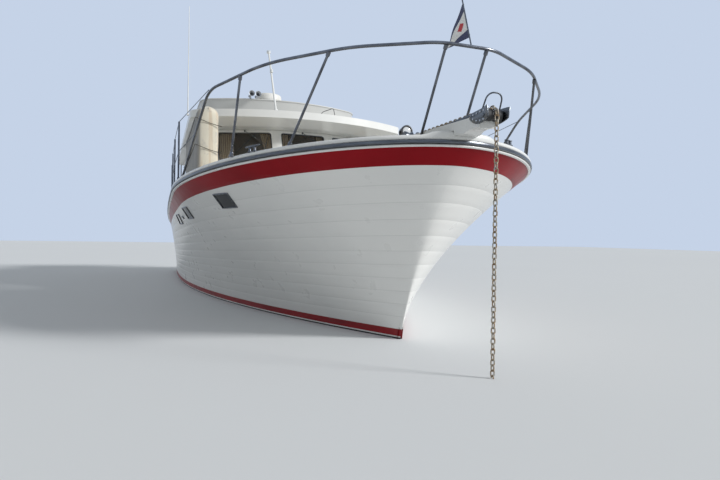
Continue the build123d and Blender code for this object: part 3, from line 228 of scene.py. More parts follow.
finishes = {
    "planks": plankPaint(),
    "strake": plainFinish("strakeRed", (0.30, 0.002, 0.008), (0.22, 0.002, 0.006), (0.26, 0.36), 1.2,
                          Specular_IOR_Level=0.12),
    "boot": plainFinish("bootRed", (0.32, 0.005, 0.010), (0.22, 0.006, 0.010), (0.3, 0.5), 2.0,
                        (1, 1, 6), 0.1),
    "bootBlack": plainFinish("bootBlack", (0.018, 0.018, 0.02), (0.04, 0.04, 0.04), (0.35, 0.55),
                             3.0),
    "bottom": plainFinish("bottomPaint", (0.045, 0.05, 0.065), (0.065, 0.07, 0.08), (0.7, 0.9), 3.0,
                          (1, 1, 3), 0.4),
    "trim": plainFinish("trimWhite", (0.79, 0.79, 0.765), (0.72, 0.72, 0.69), (0.22, 0.36), 2.0,
                        Coat_Weight=0.2),
    "house": plainFinish("houseWhite", (0.80, 0.80, 0.775), (0.75, 0.745, 0.71), (0.25, 0.4), 1.1,
                         grain=0.04, Coat_Weight=0.15),
    # Flybridge coaming painted a grey darker than the house white: painted shade standing in for the shade on
    # its face
    "coaming": plainFinish("coamingPaintedShade", (0.60, 0.60, 0.58), (0.52, 0.52, 0.50), (0.35, 0.5), 1.1,
                           grain=0.04),
    "nonSlip": treadDeck(),
    "steel": plainFinish("polishedSteel", (0.62, 0.63, 0.65), (0.50, 0.51, 0.53), (0.12, 0.27), 9.0,
                         Metallic=1.0),
    # Stainless for the rub strip and small fittings, with a dark base colour: painted reflection of dark
    # surroundings
    "rub": plainFinish("rubSteelDarkReflection", (0.16, 0.17, 0.18), (0.09, 0.095, 0.105), (0.22, 0.38), 6.0,
                       (1, 1, 20), 0.1, Metallic=1.0),
    # Rail steel with a dark base colour, far below the polished steel: painted reflection of dark
    # surroundings
    "rail": plainFinish("railSteelDarkReflection", (0.20, 0.21, 0.23), (0.10, 0.105, 0.12), (0.20, 0.34), 7.0,
                        Metallic=1.0),
    "zinc": rustyZinc(),
    "horn": plainFinish("hornSteel", (0.50, 0.51, 0.52), (0.34, 0.35, 0.36), (0.34, 0.5), 9.0, Metallic=0.7),
    "bronze": plainFinish("oldBronze", (0.42, 0.27, 0.12), (0.25, 0.21, 0.12), (0.3, 0.55), 11.0,
                          Metallic=1.0),
    "black": plainFinish("blackCase", (0.025, 0.025, 0.027), (0.05, 0.05, 0.052), (0.3, 0.5), 14.0,
                         grain=0.15, grainScale=400.0),
    "rubber": plainFinish("gasketRubber", (0.02, 0.02, 0.02), (0.045, 0.045, 0.045), (0.55, 0.75), 30.0),
    "lens": plainFinish("milkyLens", (0.80, 0.81, 0.82), (0.68, 0.70, 0.72), (0.05, 0.15), 30.0,
                        Coat_Weight=1.0),
    "radome": plainFinish("radomeWhite", (0.80, 0.79, 0.75), (0.74, 0.72, 0.67), (0.3, 0.45), 4.0),
    "teak": teakPlanks("teakPlanks", 0.055),
    "teakUp": teakPlanks("teakUpright", 0.095, True),
    "panelling": teakPlanks("saloonPanelling", 0.30, True, 0.45),
    "glass": darkGlass("saloonGlass", (0.86, 0.89, 0.88)),
    "smoke": darkGlass("hatchGlass", (0.05, 0.055, 0.06), 0.6),
    # Portlight panes: opaque near-black glass that stands in for the dark cabin behind them, painted shade
    "port": darkGlass("portlightGlassPaintedShade", (0.012, 0.014, 0.016), 0.0),
    "canvas": clothFinish("coverCanvas", canvasPaint),
    "curtain": clothFinish("curtainCloth", curtainPaint, 700.0),
    "pennant": clothFinish("pennantCloth", pennantPaint, 60.0, 0.7, 0.15),
    "vinyl": plainFinish("seatVinyl", (0.66, 0.62, 0.52), (0.60, 0.56, 0.46), (0.38, 0.52), 4.0,
                         grain=0.3, grainScale=320.0),
    "cordLine": plainFinish("tarredLine", (0.05, 0.045, 0.04), (0.11, 0.10, 0.08), (0.7, 0.9), 60.0),
    "engine": plainFinish("enginePaint", (0.10, 0.16, 0.13), (0.07, 0.11, 0.09), (0.35, 0.55), 3.0),
    "dial": plainFinish("dialFace", (0.03, 0.03, 0.035), (0.05, 0.05, 0.055), (0.1, 0.2), 20.0),
    "lampGlass": plainFinish("lampGlass", (0.75, 0.77, 0.78), (0.62, 0.66, 0.68), (0.04, 0.1), 40.0),
}
print("yacht: finishes ready,", len(finishes))


# Meshes

def newObject(name, data):
    thing = bpy.data.objects.new(name, data)
    scene.collection.objects.link(thing)
    return thing


# What a piece has become with its modifiers, as a mesh of its own
def finishedMesh(thing):
    return bpy.data.meshes.new_from_object(thing.evaluated_get(bpy.context.evaluated_depsgraph_get()))


def sharpen(work, angle):
    for face in work.faces:
        face.smooth = True
    for edge in work.edges:
        if len(edge.link_faces) == 2:
            edge.smooth = edge.calc_face_angle() < math.radians(angle)


def bevelEdges(work, width):
    sharp = [e for e in work.edges if len(e.link_faces) == 2 and e.calc_face_angle() > easedFrom]
    bmesh.ops.bevel(work, geom=sharp, offset=width, segments=2, profile=0.5, affect="EDGES",
                    clamp_overlap=True)


def circle(centre, radius, side, other, sides):
    turns = [k * math.tau / sides for k in range(sides)]
    return [centre + radius * (side * math.cos(turn) + other * math.sin(turn)) for turn in turns]


# Round corners in a path of straight runs
def roundPath(points, radii, steps=7):
    points = [Vector(p) for p in points]
    path = [points[0]]
    for before, corner, after, radius in zip(points, points[1:], points[2:], radii):
        back, ahead = (before - corner).normalized(), (after - corner).normalized()
        half = back.angle(ahead) / 2
        reach = radius / math.tan(half)
        centre = corner + (back + ahead).normalized() * (radius / math.sin(half))
        start, end = corner + back * reach - centre, corner + ahead * reach - centre
        axis, turn = start.cross(end), start.angle(end)
        path += [centre + Quaternion(axis, turn * i / steps) @ start for i in range(steps + 1)]
    return path + [points[-1]]


def roundedBox(low, high, corner, steps=4):
    centres = [(high[0] - corner, high[1] - corner), (low[0] + corner, high[1] - corner),
               (low[0] + corner, low[1] + corner), (high[0] - corner, low[1] + corner)]
    return [(a + corner * math.cos(math.pi / 2 * (turn + i / steps)),
             b + corner * math.sin(math.pi / 2 * (turn + i / steps)))
            for turn, (a, b) in enumerate(centres) for i in range(steps + 1)]


class Shape:
    def __init__(self):
        self.points, self.faces, self.looks, self.spots = [], [], [], []

    # rings of points, skinned one to the next
    def loft(self, rings, around=True, along=False, caps=True, look=0, spots=None):
        base, wide = len(self.points), len(rings[0])
        for i, ring in enumerate(rings):
            self.points += [Vector(p) for p in ring]
            self.spots += spots[i] if spots else [(0.0, 0.0)] * wide
        turns = wide if around else wide - 1
        for i in range(len(rings) if along else len(rings) - 1):
            tone = look(i) if callable(look) else look
            here, there = base + i * wide, base + (i + 1) % len(rings) * wide
            for k in range(turns):
                after = (k + 1) % wide
                self.faces.append((here + k, here + after, there + after, there + k))
                self.looks.append(tone)
        if caps and not along:
            for row in (0, len(rings) - 1):
                self.faces.append(tuple(base + row * wide + k for k in range(wide)))
                self.looks.append(look(0) if callable(look) else look)
        if not around and along:
            for k in (0, wide - 1):
                self.faces.append(tuple(base + i * wide + k for i in range(len(rings))))
                self.looks.append(0)
        return self

    def tube(self, path, radius, sides=10, loop=False):
        path = [Vector(p) for p in path]
        count = len(path)
        radii = radius if isinstance(radius, (list, tuple)) else [radius] * count
        ways = [(path[(i + 1) % count if loop else min(i + 1, count - 1)]
                 - path[i - 1 if loop or i else 0]).normalized() for i in range(count)]
        side = ways[0].orthogonal().normalized()
        if abs(ways[0].y) < 0.9:
            side = ways[0].cross(Vector((0, 1, 0))).normalized()
        rings = []
        for i, way in enumerate(ways):
            side = (side - way * side.dot(way)).normalized()
            rings.append(circle(path[i], radii[i], side, way.cross(side), sides))
        return self.loft(rings, along=loop)

    # a stack of round sections: distance along the axis, radius
    def turned(self, foot, axis, rows, sides=24):
        foot, axis = Vector(foot), Vector(axis).normalized()
        side = axis.orthogonal().normalized()
        other = axis.cross(side)
        return self.loft([circle(foot + axis * reach, radius, side, other, sides) for reach, radius in rows])

    def box(self, low, high):
        ring = [(low[0], low[1]), (high[0], low[1]), (high[0], high[1]), (low[0], high[1])]
        return self.loft([[(x, y, z) for x, y in ring] for z in (low[2], high[2])])

    # an outline in x and z, carried across the boat
    def slab(self, outline, low, high):
        return self.loft([[(x, y, z) for x, z in outline] for y in (low, high)])

    def mesh(self, name, bevel=0.0, angle=35, closed=True, seams=None):
        mesh = bpy.data.meshes.new(name)
        work = bmesh.new()
        layer = work.loops.layers.uv.new("UVMap")
        tint = work.verts.layers.float.new("seam") if seams else None
        corners = [work.verts.new(p) for p in self.points]
        work.verts.index_update()
        for face, look in zip(self.faces, self.looks):
            made = work.faces.new([corners[i] for i in face])
            made.material_index = look
            for loop in made.loops:
                loop[layer].uv = self.spots[loop.vert.index]
        for corner, value in zip(corners, seams or []):
            corner[tint] = value
        bmesh.ops.remove_doubles(work, verts=work.verts, dist=1e-5)
        bmesh.ops.dissolve_degenerate(work, edges=work.edges, dist=1e-6)
        if closed:
            bmesh.ops.recalc_face_normals(work, faces=work.faces)
        if bevel:
            bevelEdges(work, bevel)
        sharpen(work, angle)
        work.to_mesh(mesh)
        work.free()
        return mesh

    def place(self, name, look, slot, *nodes, body="hull", **form):
        return placePiece(name, self.mesh(name, **form), look, body, slot, *nodes)


def placePiece(name, mesh, look, body, slot, *nodes):
    piece = newObject(name, mesh)
    for label in [look] if isinstance(look, str) else look:
        mesh.materials.append(finishes[label])
    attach(piece, body)
    if nodes:
        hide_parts(*nodes)
    return piece


# Edges run round at one height, and what lies beyond it goes if a side is named
def cutLevel(work, z, **side):
    geometry = work.verts[:] + work.edges[:] + work.faces[:]
    cut = bmesh.ops.bisect_plane(work, geom=geometry, dist=1e-5, plane_co=(0, 0, z), plane_no=up, **side)
    if side:
        bmesh.ops.holes_fill(work, edges=[e for e in cut["geom_cut"] if isinstance(e, bmesh.types.BMEdge)])


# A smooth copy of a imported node, its loose triangles joined and its edges eased
def smoothCopy(node, name, look, body, slot, bevel=0.0, angle=30, lookOf=None, shape=None):
    work = bmesh.new()
    work.from_mesh(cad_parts[node].data)
    for layer in list(work.loops.layers.uv):
        work.loops.layers.uv.remove(layer)
    bmesh.ops.remove_doubles(work, verts=work.verts, dist=2e-5)
    if shape:
        shape(work)
    if bevel:
        bevelEdges(work, bevel)
    for face in work.faces:
        face.material_index = lookOf(face) if lookOf else 0
    sharpen(work, angle)
    mesh = bpy.data.meshes.new(name)
    work.to_mesh(mesh)
    work.free()
    piece = placePiece(name, mesh, look, body, slot, node)
    if bevel:
        piece.modifiers.new("faceWeight", "WEIGHTED_NORMAL").keep_sharp = True
    return piece


# Repeats, made by a node tree

# One item on each point, facing the way its point says, with a seeded random roll
def itemsOnPoints():
    tree = bpy.data.node_groups.new("itemsOnPoints", "GeometryNodeTree")
    for label, kind in (("Geometry", "Geometry"), ("Item", "Object"), ("Finish", "Material"),
                        ("Size", "Float"), ("Loose Turn", "Float"), ("Seed", "Int")):
        tree.interface.new_socket(label, in_out="INPUT", socket_type="NodeSocket" + kind)
    tree.interface.new_socket("Geometry", in_out="OUTPUT", socket_type="NodeSocketGeometry")
    start = addNode(tree, "NodeGroupInput").outputs
    named = "GeometryNodeInputNamedAttribute"
    facing = addNode(tree, named, {"Name": "facing"}, data_type="FLOAT_VECTOR").outputs[0]
    turn = addNode(tree, named, {"Name": "turn"}, data_type="FLOAT").outputs[0]
    loose = start["Loose Turn"]
    limits = {2: sums(tree, "MULTIPLY", loose, -1.0), 3: loose, "Seed": start["Seed"]}
    stray = addNode(tree, "FunctionNodeRandomValue", limits, data_type="FLOAT").outputs[1]
    turn = sums(tree, "ADD", turn, stray)
    item = addNode(tree, "GeometryNodeObjectInfo", {0: start["Item"]}).outputs["Geometry"]
    aimed = addNode(tree, "FunctionNodeAlignRotationToVector", {"Vector": facing}, axis="Z").outputs[0]
    roll = addNode(tree, "FunctionNodeAxisAngleToRotation", {0: up, 1: turn}).outputs[0]
    spun = addNode(tree, "FunctionNodeRotateRotation", {0: aimed, 1: roll}, rotation_space="LOCAL")
    laid = {"Points": start["Geometry"], "Instance": item, "Rotation": spun.outputs[0],
            "Scale": start["Size"]}
    laid = addNode(tree, "GeometryNodeInstanceOnPoints", laid).outputs[0]
    real = addNode(tree, "GeometryNodeRealizeInstances", {0: laid}).outputs[0]
    done = addNode(tree, "GeometryNodeSetMaterial", {"Geometry": real, "Material": start["Finish"]})
    addNode(tree, "NodeGroupOutput", {0: done.outputs[0]})
    return tree


pointTree = itemsOnPoints()


def pointHost(rows):
    host = bpy.data.meshes.new("pointHost")
    host.from_pydata([place for place, facing, turn in rows], [], [])
    host.attributes.new("facing", "FLOAT_VECTOR", "POINT")
    host.attributes.new("turn", "FLOAT", "POINT")
    for i, (place, way, spin) in enumerate(rows):
        host.attributes["facing"].data[i].vector = way
        host.attributes["turn"].data[i].value = spin
    return host


# rows: place, facing and turn of each item
def repeated(name, rows, item, look, slot, *nodes, **inputs):
    stand, sample = newObject(name + "Host", pointHost(rows)), newObject(name + "Item", item)
    grower = stand.modifiers.new("grow", "NODES")
    grower.node_group = pointTree
    values = {"Item": sample, "Finish": finishes[look], "Size": 1.0, **inputs}
    for socket in pointTree.interface.items_tree:
        label = socket.name.replace(" ", "")
        if socket.in_out == "INPUT" and label in values:
            grower[socket.identifier] = values[label]
    mesh = finishedMesh(stand)
    mesh.name = name
    mesh.materials.clear()
    for thing in (stand, sample):
        bpy.data.objects.remove(thing)
    return placePiece(name, mesh, look, "hull", slot, *nodes)


# A sheet skinned from rows of points, with its thickness as a modifier
def clothPiece(name, rows, spots, look, slot, nodes, thick, offset=-1.0, angle=180):
    shape = Shape().loft(rows, around=False, caps=False, spots=spots)
    piece = shape.place(name, look, slot, *nodes, angle=angle, closed=False)
    skin = piece.modifiers.new("thickness", "SOLIDIFY")
    skin.thickness, skin.offset = thick, offset
    return piece


def pathLength(path):
    return sum((Vector(a) - Vector(b)).length for a, b in zip(path, path[1:]))


# Low and high y of a thing from near to far on one side of the boat
def sideSpan(side, near, far):
    return sorted((side * near, side * far))


print("yacht: tools ready")


# Hull form. Lengths run aft from the stem.
hullForm = {
    "stemFoot": 5.6, "stemRake": 0.356, "stemSweep": 0.174, "bowSheer": 1.8, "sheerFall": 0.055,
    "sheerCurve": 0.001, "sternFoot": -5.85, "sternRake": 0.10, "crown": 0.06, "flare": 1.453,
    "lineLength": 12.8, "sideColumns": 96, "nearStem": 2.3,
    # half beam, length of the run, fullness, roundness, narrowing aft
    "deckLine": (2.149, 3.844, 2.136, 0.556, 0.159),
    "waterLine": (1.799, 8.879, 2.393, 1.011, 0.079),
    "transomY": [1.42, 1.25, 1.06, 0.9, 0.7, 0.48, 0.25, 0.0, -0.25, -0.5, -0.75, -1.0, -1.25, -1.42],
    # height, bow x, stern x, share of the waterline's breadth
    "bottomLevels": [(-0.8, 4.4, -3.6, 0.26), (-0.65, 4.78, -4.15, 0.53), (-0.48, 5.08, -4.72, 0.70),
                     (-0.3, 5.34, -5.33, 0.84), (-0.14, 5.5, -5.7, 0.94), (0.0, 5.6, -5.85, 1.0)],
    "gate": (0.48, 1.06), "sill": 0.64,
}


def stemX(z):
    return hullForm["stemFoot"] + hullForm["stemRake"] * z + hullForm["stemSweep"] * z * z


def sternX(z):
    return hullForm["sternFoot"] - hullForm["sternRake"] * z


stemHead = stemX(hullForm["bowSheer"])


def sheerZ(x):
    aft = stemHead - x
    return hullForm["bowSheer"] - hullForm["sheerFall"] * aft + hullForm["sheerCurve"] * aft * aft


def lineHalf(aft, line):
    beam, run, fullness, roundness, narrowing = line
    share = min(max(aft, 0) / run, 1)
    past = max(0, aft - run) / (hullForm["lineLength"] - run)
    return beam * (1 - (1 - share) ** fullness) ** roundness * (1 - narrowing * past ** 2)


def topsideHalf(aft, z):
    water = lineHalf(aft, hullForm["waterLine"])
    rise = max(z, 0) / sheerZ(stemHead - aft)
    return water + (lineHalf(aft, hullForm["deckLine"]) - water) * rise ** hullForm["flare"]


def hullY(x, z):
    return topsideHalf(stemX(z) - x, z)


# Columns round the boat: starboard from the stem, the transom, and port back to the stem
sideShares = [(i / hullForm["sideColumns"]) ** hullForm["nearStem"]
              for i in range(1, hullForm["sideColumns"] + 1)]
columns = [("side", 0.0, -1)] + [("side", share, -1) for share in sideShares]
columns += [("transom", y, 0) for y in reversed(hullForm["transomY"])]
columns += [("side", share, 1) for share in reversed(sideShares)]


def levelPoint(column, z, bow, stern, halfAt):
    kind, value, sign = column
    if kind == "transom":
        half = halfAt(bow - stern)
        return Vector((stern - hullForm["crown"] * (1 - (value / half) ** 2), value, z))
    aft = value * (bow - stern)
    return Vector((bow - aft, sign * halfAt(aft), z))


def topsidePoint(column, z):
    return levelPoint(column, z, stemX(z), sternX(z), lambda aft: topsideHalf(aft, z))


def sheerHeight(column):
    z = 1.5
    for _ in range(6):
        z = sheerZ(topsidePoint(column, z).x)
    return z


sheerHeights = [sheerHeight(column) for column in columns]


def outwards(points):
    ways = []
    for i, here in enumerate(points):
        ahead, back = points[(i + 1) % len(points)] - here, here - points[i - 1]
        first, second = ((-way.xy.normalized().y, way.xy.normalized().x) for way in (ahead, back))
        both = (Vector(first) + Vector(second)).normalized()
        ways.append(Vector((*(both / max(both.dot(Vector(first)), 0.5)), 0)))
    return ways


# One row round the hull at each column's height, moved out or in
def hullRow(heightAt, out=0.0):
    points = [topsidePoint(column, heightAt(i)) for i, column in enumerate(columns)]
    if not out:
        return points
    return [point + way * out for point, way in zip(points, outwards(points))]


def fromSheer(offset):
    return lambda i: sheerHeights[i] + offset


sheerRow = hullRow(fromSheer(0.0))
sheerWays = outwards(sheerRow)
gateLow, gateHigh = (next(i for i, c in enumerate(columns) if c[0] == "transom" and c[1] == y)
                     for y in hullForm["gate"])
# Columns from one side of the transom gate round to the other
bandOrder = list(range(gateHigh, len(columns))) + list(range(gateLow + 1))


# The gunwale's top swells up to meet the plank over the stem
def swell(i, rise):
    spot = sheerRow[i]
    if rise < bands["swellFrom"] or spot.x < 0:
        return 0.0
    near = min(max((bands["swellHalf"] - abs(spot.y)) / bands["swellRun"], 0), 1)
    return bands["swell"] * near * near * (3 - 2 * near)


# A band along the sheer, open at the gate
def sheerBand(section):
    rows = [[sheerRow[i] + sheerWays[i] * out + up * (rise + swell(i, rise)) for i in bandOrder]
            for out, rise in section]
    return Shape().loft(rows, around=False, along=True)


bands = {
    "boot": 0.105, "bootProud": 0.0012, "strakeDepth": 0.135, "strakeProud": 0.0015, "strakeLap": 0.002,
    "planks": 11, "gatePlank": 6, "seamWide": 0.0035, "seamDeep": 0.0014, "shell": 0.035,
    "top": 0.099, "swell": 0.031, "swellFrom": 0.075, "swellHalf": 0.36, "swellRun": 0.13,
    # out from the sheer, rise above it
    "moulding": [(-0.04, 0), (0.014, 0), (0.022, 0.004), (0.025, 0.011), (0.022, 0.018), (0.014, 0.022),
                 (-0.04, 0.022)],
    "rubStrip": [(-0.04, 0.0225), (0.028, 0.0225), (0.037, 0.026), (0.040, 0.039), (0.037, 0.052),
                 (0.028, 0.0555), (-0.04, 0.0555)],
    "gunwale": [(-0.09, 0.056), (0.018, 0.056), (0.026, 0.060), (0.030, 0.068), (0.030, 0.079),
                (0.025, 0.089), (0.014, 0.096), (-0.004, 0.099), (-0.066, 0.099), (-0.082, 0.096),
                (-0.09, 0.088)],
}


def buildTopsides():
    gateTop = sheerZ(sternX(1.2)) - bands["strakeDepth"]
    gateShare = (hullForm["sill"] - bands["boot"]) / (gateTop - bands["boot"])
    count, middle = bands["planks"], bands["gatePlank"]
    edges = [gateShare * k / middle for k in range(middle + 1)]
    edges += [gateShare + (1 - gateShare) * k / (count - middle) for k in range(1, count - middle + 1)]

    def heights(share, offset):
        def at(i):
            top = sheerHeights[i] - bands["strakeDepth"]
            return bands["boot"] + share * (top - bands["boot"]) + offset
        return at

    rows, seams = [hullRow(heights(0, 0))], [0]
    for low, high in zip(edges, edges[1:]):
        rows += [hullRow(heights(low + (high - low) * part, 0)) for part in (0.33, 0.67)]
        seams += [0, 0]
        if high < 1:
            for offset, deep in ((-bands["seamWide"], 0), (0, bands["seamDeep"]), (bands["seamWide"], 0)):
                rows.append(hullRow(heights(high, offset), -deep))
                seams.append(1 if deep else 0)
    rows.append(hullRow(heights(1, 0)))
    rows += [hullRow(heights(share, 0), -bands["shell"]) for share in reversed(edges)]
    seams += [0] * (1 + len(edges))
    seams = [value for value in seams for _ in columns]
    mesh = Shape().loft(rows, along=True).mesh("topsides", angle=42, seams=seams)
    cutGate(mesh)
    placePiece("topsides", mesh, "planks", "hull", "hull_white", "hull_planking")


def cutGate(mesh):
    low, high = hullForm["gate"]
    block = Shape().box((-6.5, low, hullForm["sill"]), (-5.7, high, 2.0)).mesh("gateCutter")
    whole, knife = newObject("gateWork", mesh.copy()), newObject("gateCutter", block)
    cut = whole.modifiers.new("cut", "BOOLEAN")
    cut.operation, cut.object, cut.solver = "DIFFERENCE", knife, "EXACT"
    work = bmesh.new()
    work.from_mesh(finishedMesh(whole))
    work.to_mesh(mesh)
    work.free()
    for thing in (whole, knife):
        bpy.data.objects.remove(thing)


def buildBands():
    depth, proud, lap, shell = (bands[key] for key in ("strakeDepth", "strakeProud", "strakeLap", "shell"))
    places = [(-depth, -shell), (-depth, proud)] + [(-depth * part, proud) for part in (0.75, 0.5, 0.25)]
    rows = [hullRow(fromSheer(rise), out) for rise, out in places + [(lap, proud), (lap, -shell)]]
    shape = Shape().loft([[row[i] for i in bandOrder] for row in rows], around=False, along=True)
    shape.place("sheerStrake", "strake", "sheer_red", "sheer_strake", angle=42)
    for name, key, look, slot, node in (
            ("sheerMoulding", "moulding", "trim", "trim_white", "sheer_moulding"),
            ("rubStrip", "rubStrip", "rub", "rub_rail", "rub_strip"),
            ("gunwaleCap", "gunwale", "trim", "trim_white", "gunwale")):
        sheerBand(bands[key]).place(name, look, slot, node, angle=50)
    rows = [hullRow(lambda i, z=z: z, bands["bootProud"]) for z in (0.0, 0.015, 0.030, 0.068, bands["boot"])]
    rows += [hullRow(lambda i, z=z: z, -shell) for z in (bands["boot"], 0.0)]
    shape = Shape().loft(rows, along=True, look=lambda i: [1, 2, 0, 0, 0, 0, 1][i])
    shape.place("bootStripe", ["boot", "bootBlack", "trim"], "boot_red", "boot_stripe", angle=42)


underbody = {
    "keelHalf": 0.075, "keel": [(4.25, -0.38), (3.95, -0.96), (-4.38, -1.24), (-4.38, -0.38)],
    "shoe": [(-5.06, -0.05, -1.24), (-4.08, 0.05, -1.15)],
}


# The transom's columns draw in with the breadth of a level
def scaled(column, share):
    kind, value, sign = column
    return (kind, value * share, sign) if kind == "transom" else column


def buildUnderbody():
    shape = Shape()
    rows = []
    for z, bow, stern, share in hullForm["bottomLevels"]:
        def halfAt(aft, bow=bow, share=share):
            extra = (hullForm["stemFoot"] - bow) / 2 if aft > 0 else 0
            return share * lineHalf(aft + extra, hullForm["waterLine"])
        rows.append([levelPoint(scaled(column, share), z, bow, stern, halfAt) for column in columns])
    shape.loft(rows, caps=False)
    wide = len(columns)
    # the lowest and the highest level are closed by strips from side to side
    for base in (0, (len(rows) - 1) * wide):
        for k in range(wide // 2):
            a, b = base + k, base + k + 1
            c, d = base + (wide - k) % wide, base + (wide - k - 1) % wide
            shape.faces.append((a, b, d) if a == c else (a, b, d, c) if b != d else (a, b, c))
            shape.looks.append(0)
    shape.slab(underbody["keel"], -underbody["keelHalf"], underbody["keelHalf"])
    shape.box(*underbody["shoe"])
    shape.place("underbody", "bottom", "bottom_paint", "hull_bottom", angle=40)


portholes = {
    # aft x and fore x of the lower edge
    "places": [(4.25, 4.57), (2.46, 2.86), (1.15, 1.55)],
    "drop": 0.175, "high": 0.142, "rake": 0.11, "frame": 0.010, "proud": 0.003, "deep": 0.012,
    "outlet": (2.01, 1.30), "outletRadius": 0.028,
    # distance along the axis with the share of the outlet's radius, and with the radius of a screw's head
    "outletRows": [(0, 0.4), (0, 1), (0.012, 1), (0.016, 0.85), (0.010, 0.6)],
    "screw": [(0, 0.0045), (0.0025, 0.0045), (0.0035, 0.003), (0.0037, 0.0005)],
}


# A place on the topsides and the way out from it
def hullSpot(x, z, side, out=0.0):
    step = 0.01
    along = Vector((2 * step, side * (hullY(x + step, z) - hullY(x - step, z)), 0))
    rise = Vector((0, side * (hullY(x, z + step) - hullY(x, z - step)), 2 * step))
    way = along.cross(rise).normalized()
    way = way if way.y * side > 0 else -way
    return Vector((x, side * hullY(x, z), z)) + way * out, way


def buildPortholes():
    panes, frames, screws = Shape(), Shape(), []
    size = portholes
    for side in (-1, 1):
        for aft, fore in size["places"]:
            top = sheerZ((aft + fore) / 2) - size["drop"]
            low = top - size["high"]

            def spotAt(i, k, out):
                share, rise = i / 8, k / 4
                x = aft + (fore - aft) * share + size["rake"] * rise
                return hullSpot(x, low + (top - low) * rise, side, out)

            grid, back = ([[spotAt(i, k, out)[0] for i in range(9)] for k in range(5)]
                          for out in (size["proud"], -size["deep"]))
            ring = [(i, 0) for i in range(9)] + [(8, k) for k in range(1, 4)]
            ring += [(i, 4) for i in range(8, -1, -1)] + [(0, k) for k in range(3, 0, -1)]
            edge = [grid[k][i] for i, k in ring]
            panes.loft(grid, around=False, caps=False)
            panes.loft(back, around=False, caps=False)
            panes.loft([edge, [back[k][i] for i, k in ring]], caps=False)
            frames.tube(edge, size["frame"], 8, loop=True)
            for i, k in ring[::2]:
                spot, way = spotAt(i, k, size["proud"] + size["frame"] * 0.9)
                screws.append((spot, way, 0.7 * i))
        spot, way = hullSpot(*size["outlet"], side, -0.004)
        rows = [(reach, size["outletRadius"] * share) for reach, share in size["outletRows"]]
        frames.turned(spot, way, rows + [(0.004, 0.001)])
    panes.place("portlightPanes", "port", "glazing", "portlights", angle=60)
    frames.place("portlightFrames", "rub", "stainless")
    head = Shape().turned((0, 0, -0.002), up, size["screw"], 10)
    repeated("portlightScrews", screws, head.mesh("screwHead"), "steel", "stainless")


cockpit = {
    "aft": -5.78, "fore": -3.65, "half": 1.56, "sole": 0.64, "wall": 0.03, "rise": 0.040, "doorHalf": 0.35,
    "cap": 0.02, "frontTop": 1.442, "frontLap": 0.004, "under": 0.03,
}
saloon = {"aft": -3.55, "fore": 1.3, "half": 1.4, "sole": 0.82, "wall": 0.04, "roof": (2.80, 2.835),
          "plan": [(-3.55, 1.44), (0.88, 1.44), (1.31, 0.46), (1.31, -0.46), (0.88, -1.44), (-3.55, -1.44)]}


def buildCockpit():
    c = cockpit
    lining, capping = Shape(), Shape()
    aft, fore, half, sole, wall, cap = (c[key] for key in ("aft", "fore", "half", "sole", "wall", "cap"))
    foreTop, aftTop = (sheerZ(x) + c["rise"] for x in (fore, aft))
    for side in (-1, 1):
        lining.slab([(aft - wall, sole), (fore, sole), (fore, foreTop), (aft, aftTop)],
                    *sideSpan(side, half, half + wall))
        past = aft - 0.05
        capping.slab([(fore, foreTop), (past, aftTop), (past, aftTop + cap), (fore, foreTop + cap)],
                     *sideSpan(side, half - 0.012, half + 0.07))
    gateLowY, gateHighY = hullForm["gate"]
    for low, high in ((-half - wall, gateLowY), (gateHighY, half + wall)):
        lining.box((aft - wall, low, sole), (aft, high, aftTop))
        capping.box((aft - 0.07, low + 0.02, aftTop), (aft + 0.012, high - 0.02, aftTop + cap))
    for low, high in ((gateLowY - wall, gateLowY), (gateHighY, gateHighY + wall)):
        lining.box((sternX(sole) - 0.02, low, sole), (aft - wall, high, aftTop))
    under = sole - c["under"]
    for low, high in ((-half - wall, -c["doorHalf"]), (c["doorHalf"], half + wall)):
        lining.box((fore - c["frontLap"], low, under), (fore + wall, high, c["frontTop"]))
    lining.box((fore, -c["doorHalf"], under), (fore + 0.10, c["doorHalf"], saloon["sole"]))
    lining.place("cockpitLining", "house", "hull_white", bevel=0.003)
    capping.place("cockpitCapping", "teak", "teak", bevel=0.006)
    floor = Shape().box((sternX(sole) + 0.005, gateLowY, under), (aft, gateHighY, sole))
    floor.box((aft, -half, under), (fore, half, sole)).place("cockpitSole", "teak", "teak")


def buildSaloon():
    walls = Shape()
    aft, fore, half, sole, wall = (saloon[key] for key in ("aft", "fore", "half", "sole", "wall"))
    aftTop, foreTop = sheerZ(aft) + 0.03, sheerZ(fore) + 0.03
    for side in (-1, 1):
        walls.slab([(aft, sole), (fore, sole), (fore, foreTop), (aft, aftTop)],
                   *sideSpan(side, half, half + wall))
    walls.box((fore, -half - wall, sole), (fore + wall, half + wall, foreTop + 0.01))
    for side in (-1, 1):
        low, high = sideSpan(side, 0.36, half + wall)
        walls.box((aft - 0.03, low, sole), (aft, high, aftTop))
    walls.loft([[(x, y, z) for x, y in saloon["plan"]] for z in saloon["roof"]])
    walls.place("saloonPanelling", "panelling", "teak")


buildTopsides()
buildBands()
buildUnderbody()
buildPortholes()
buildCockpit()
buildSaloon()
print("yacht: hull plated")


# House, roof and flybridge

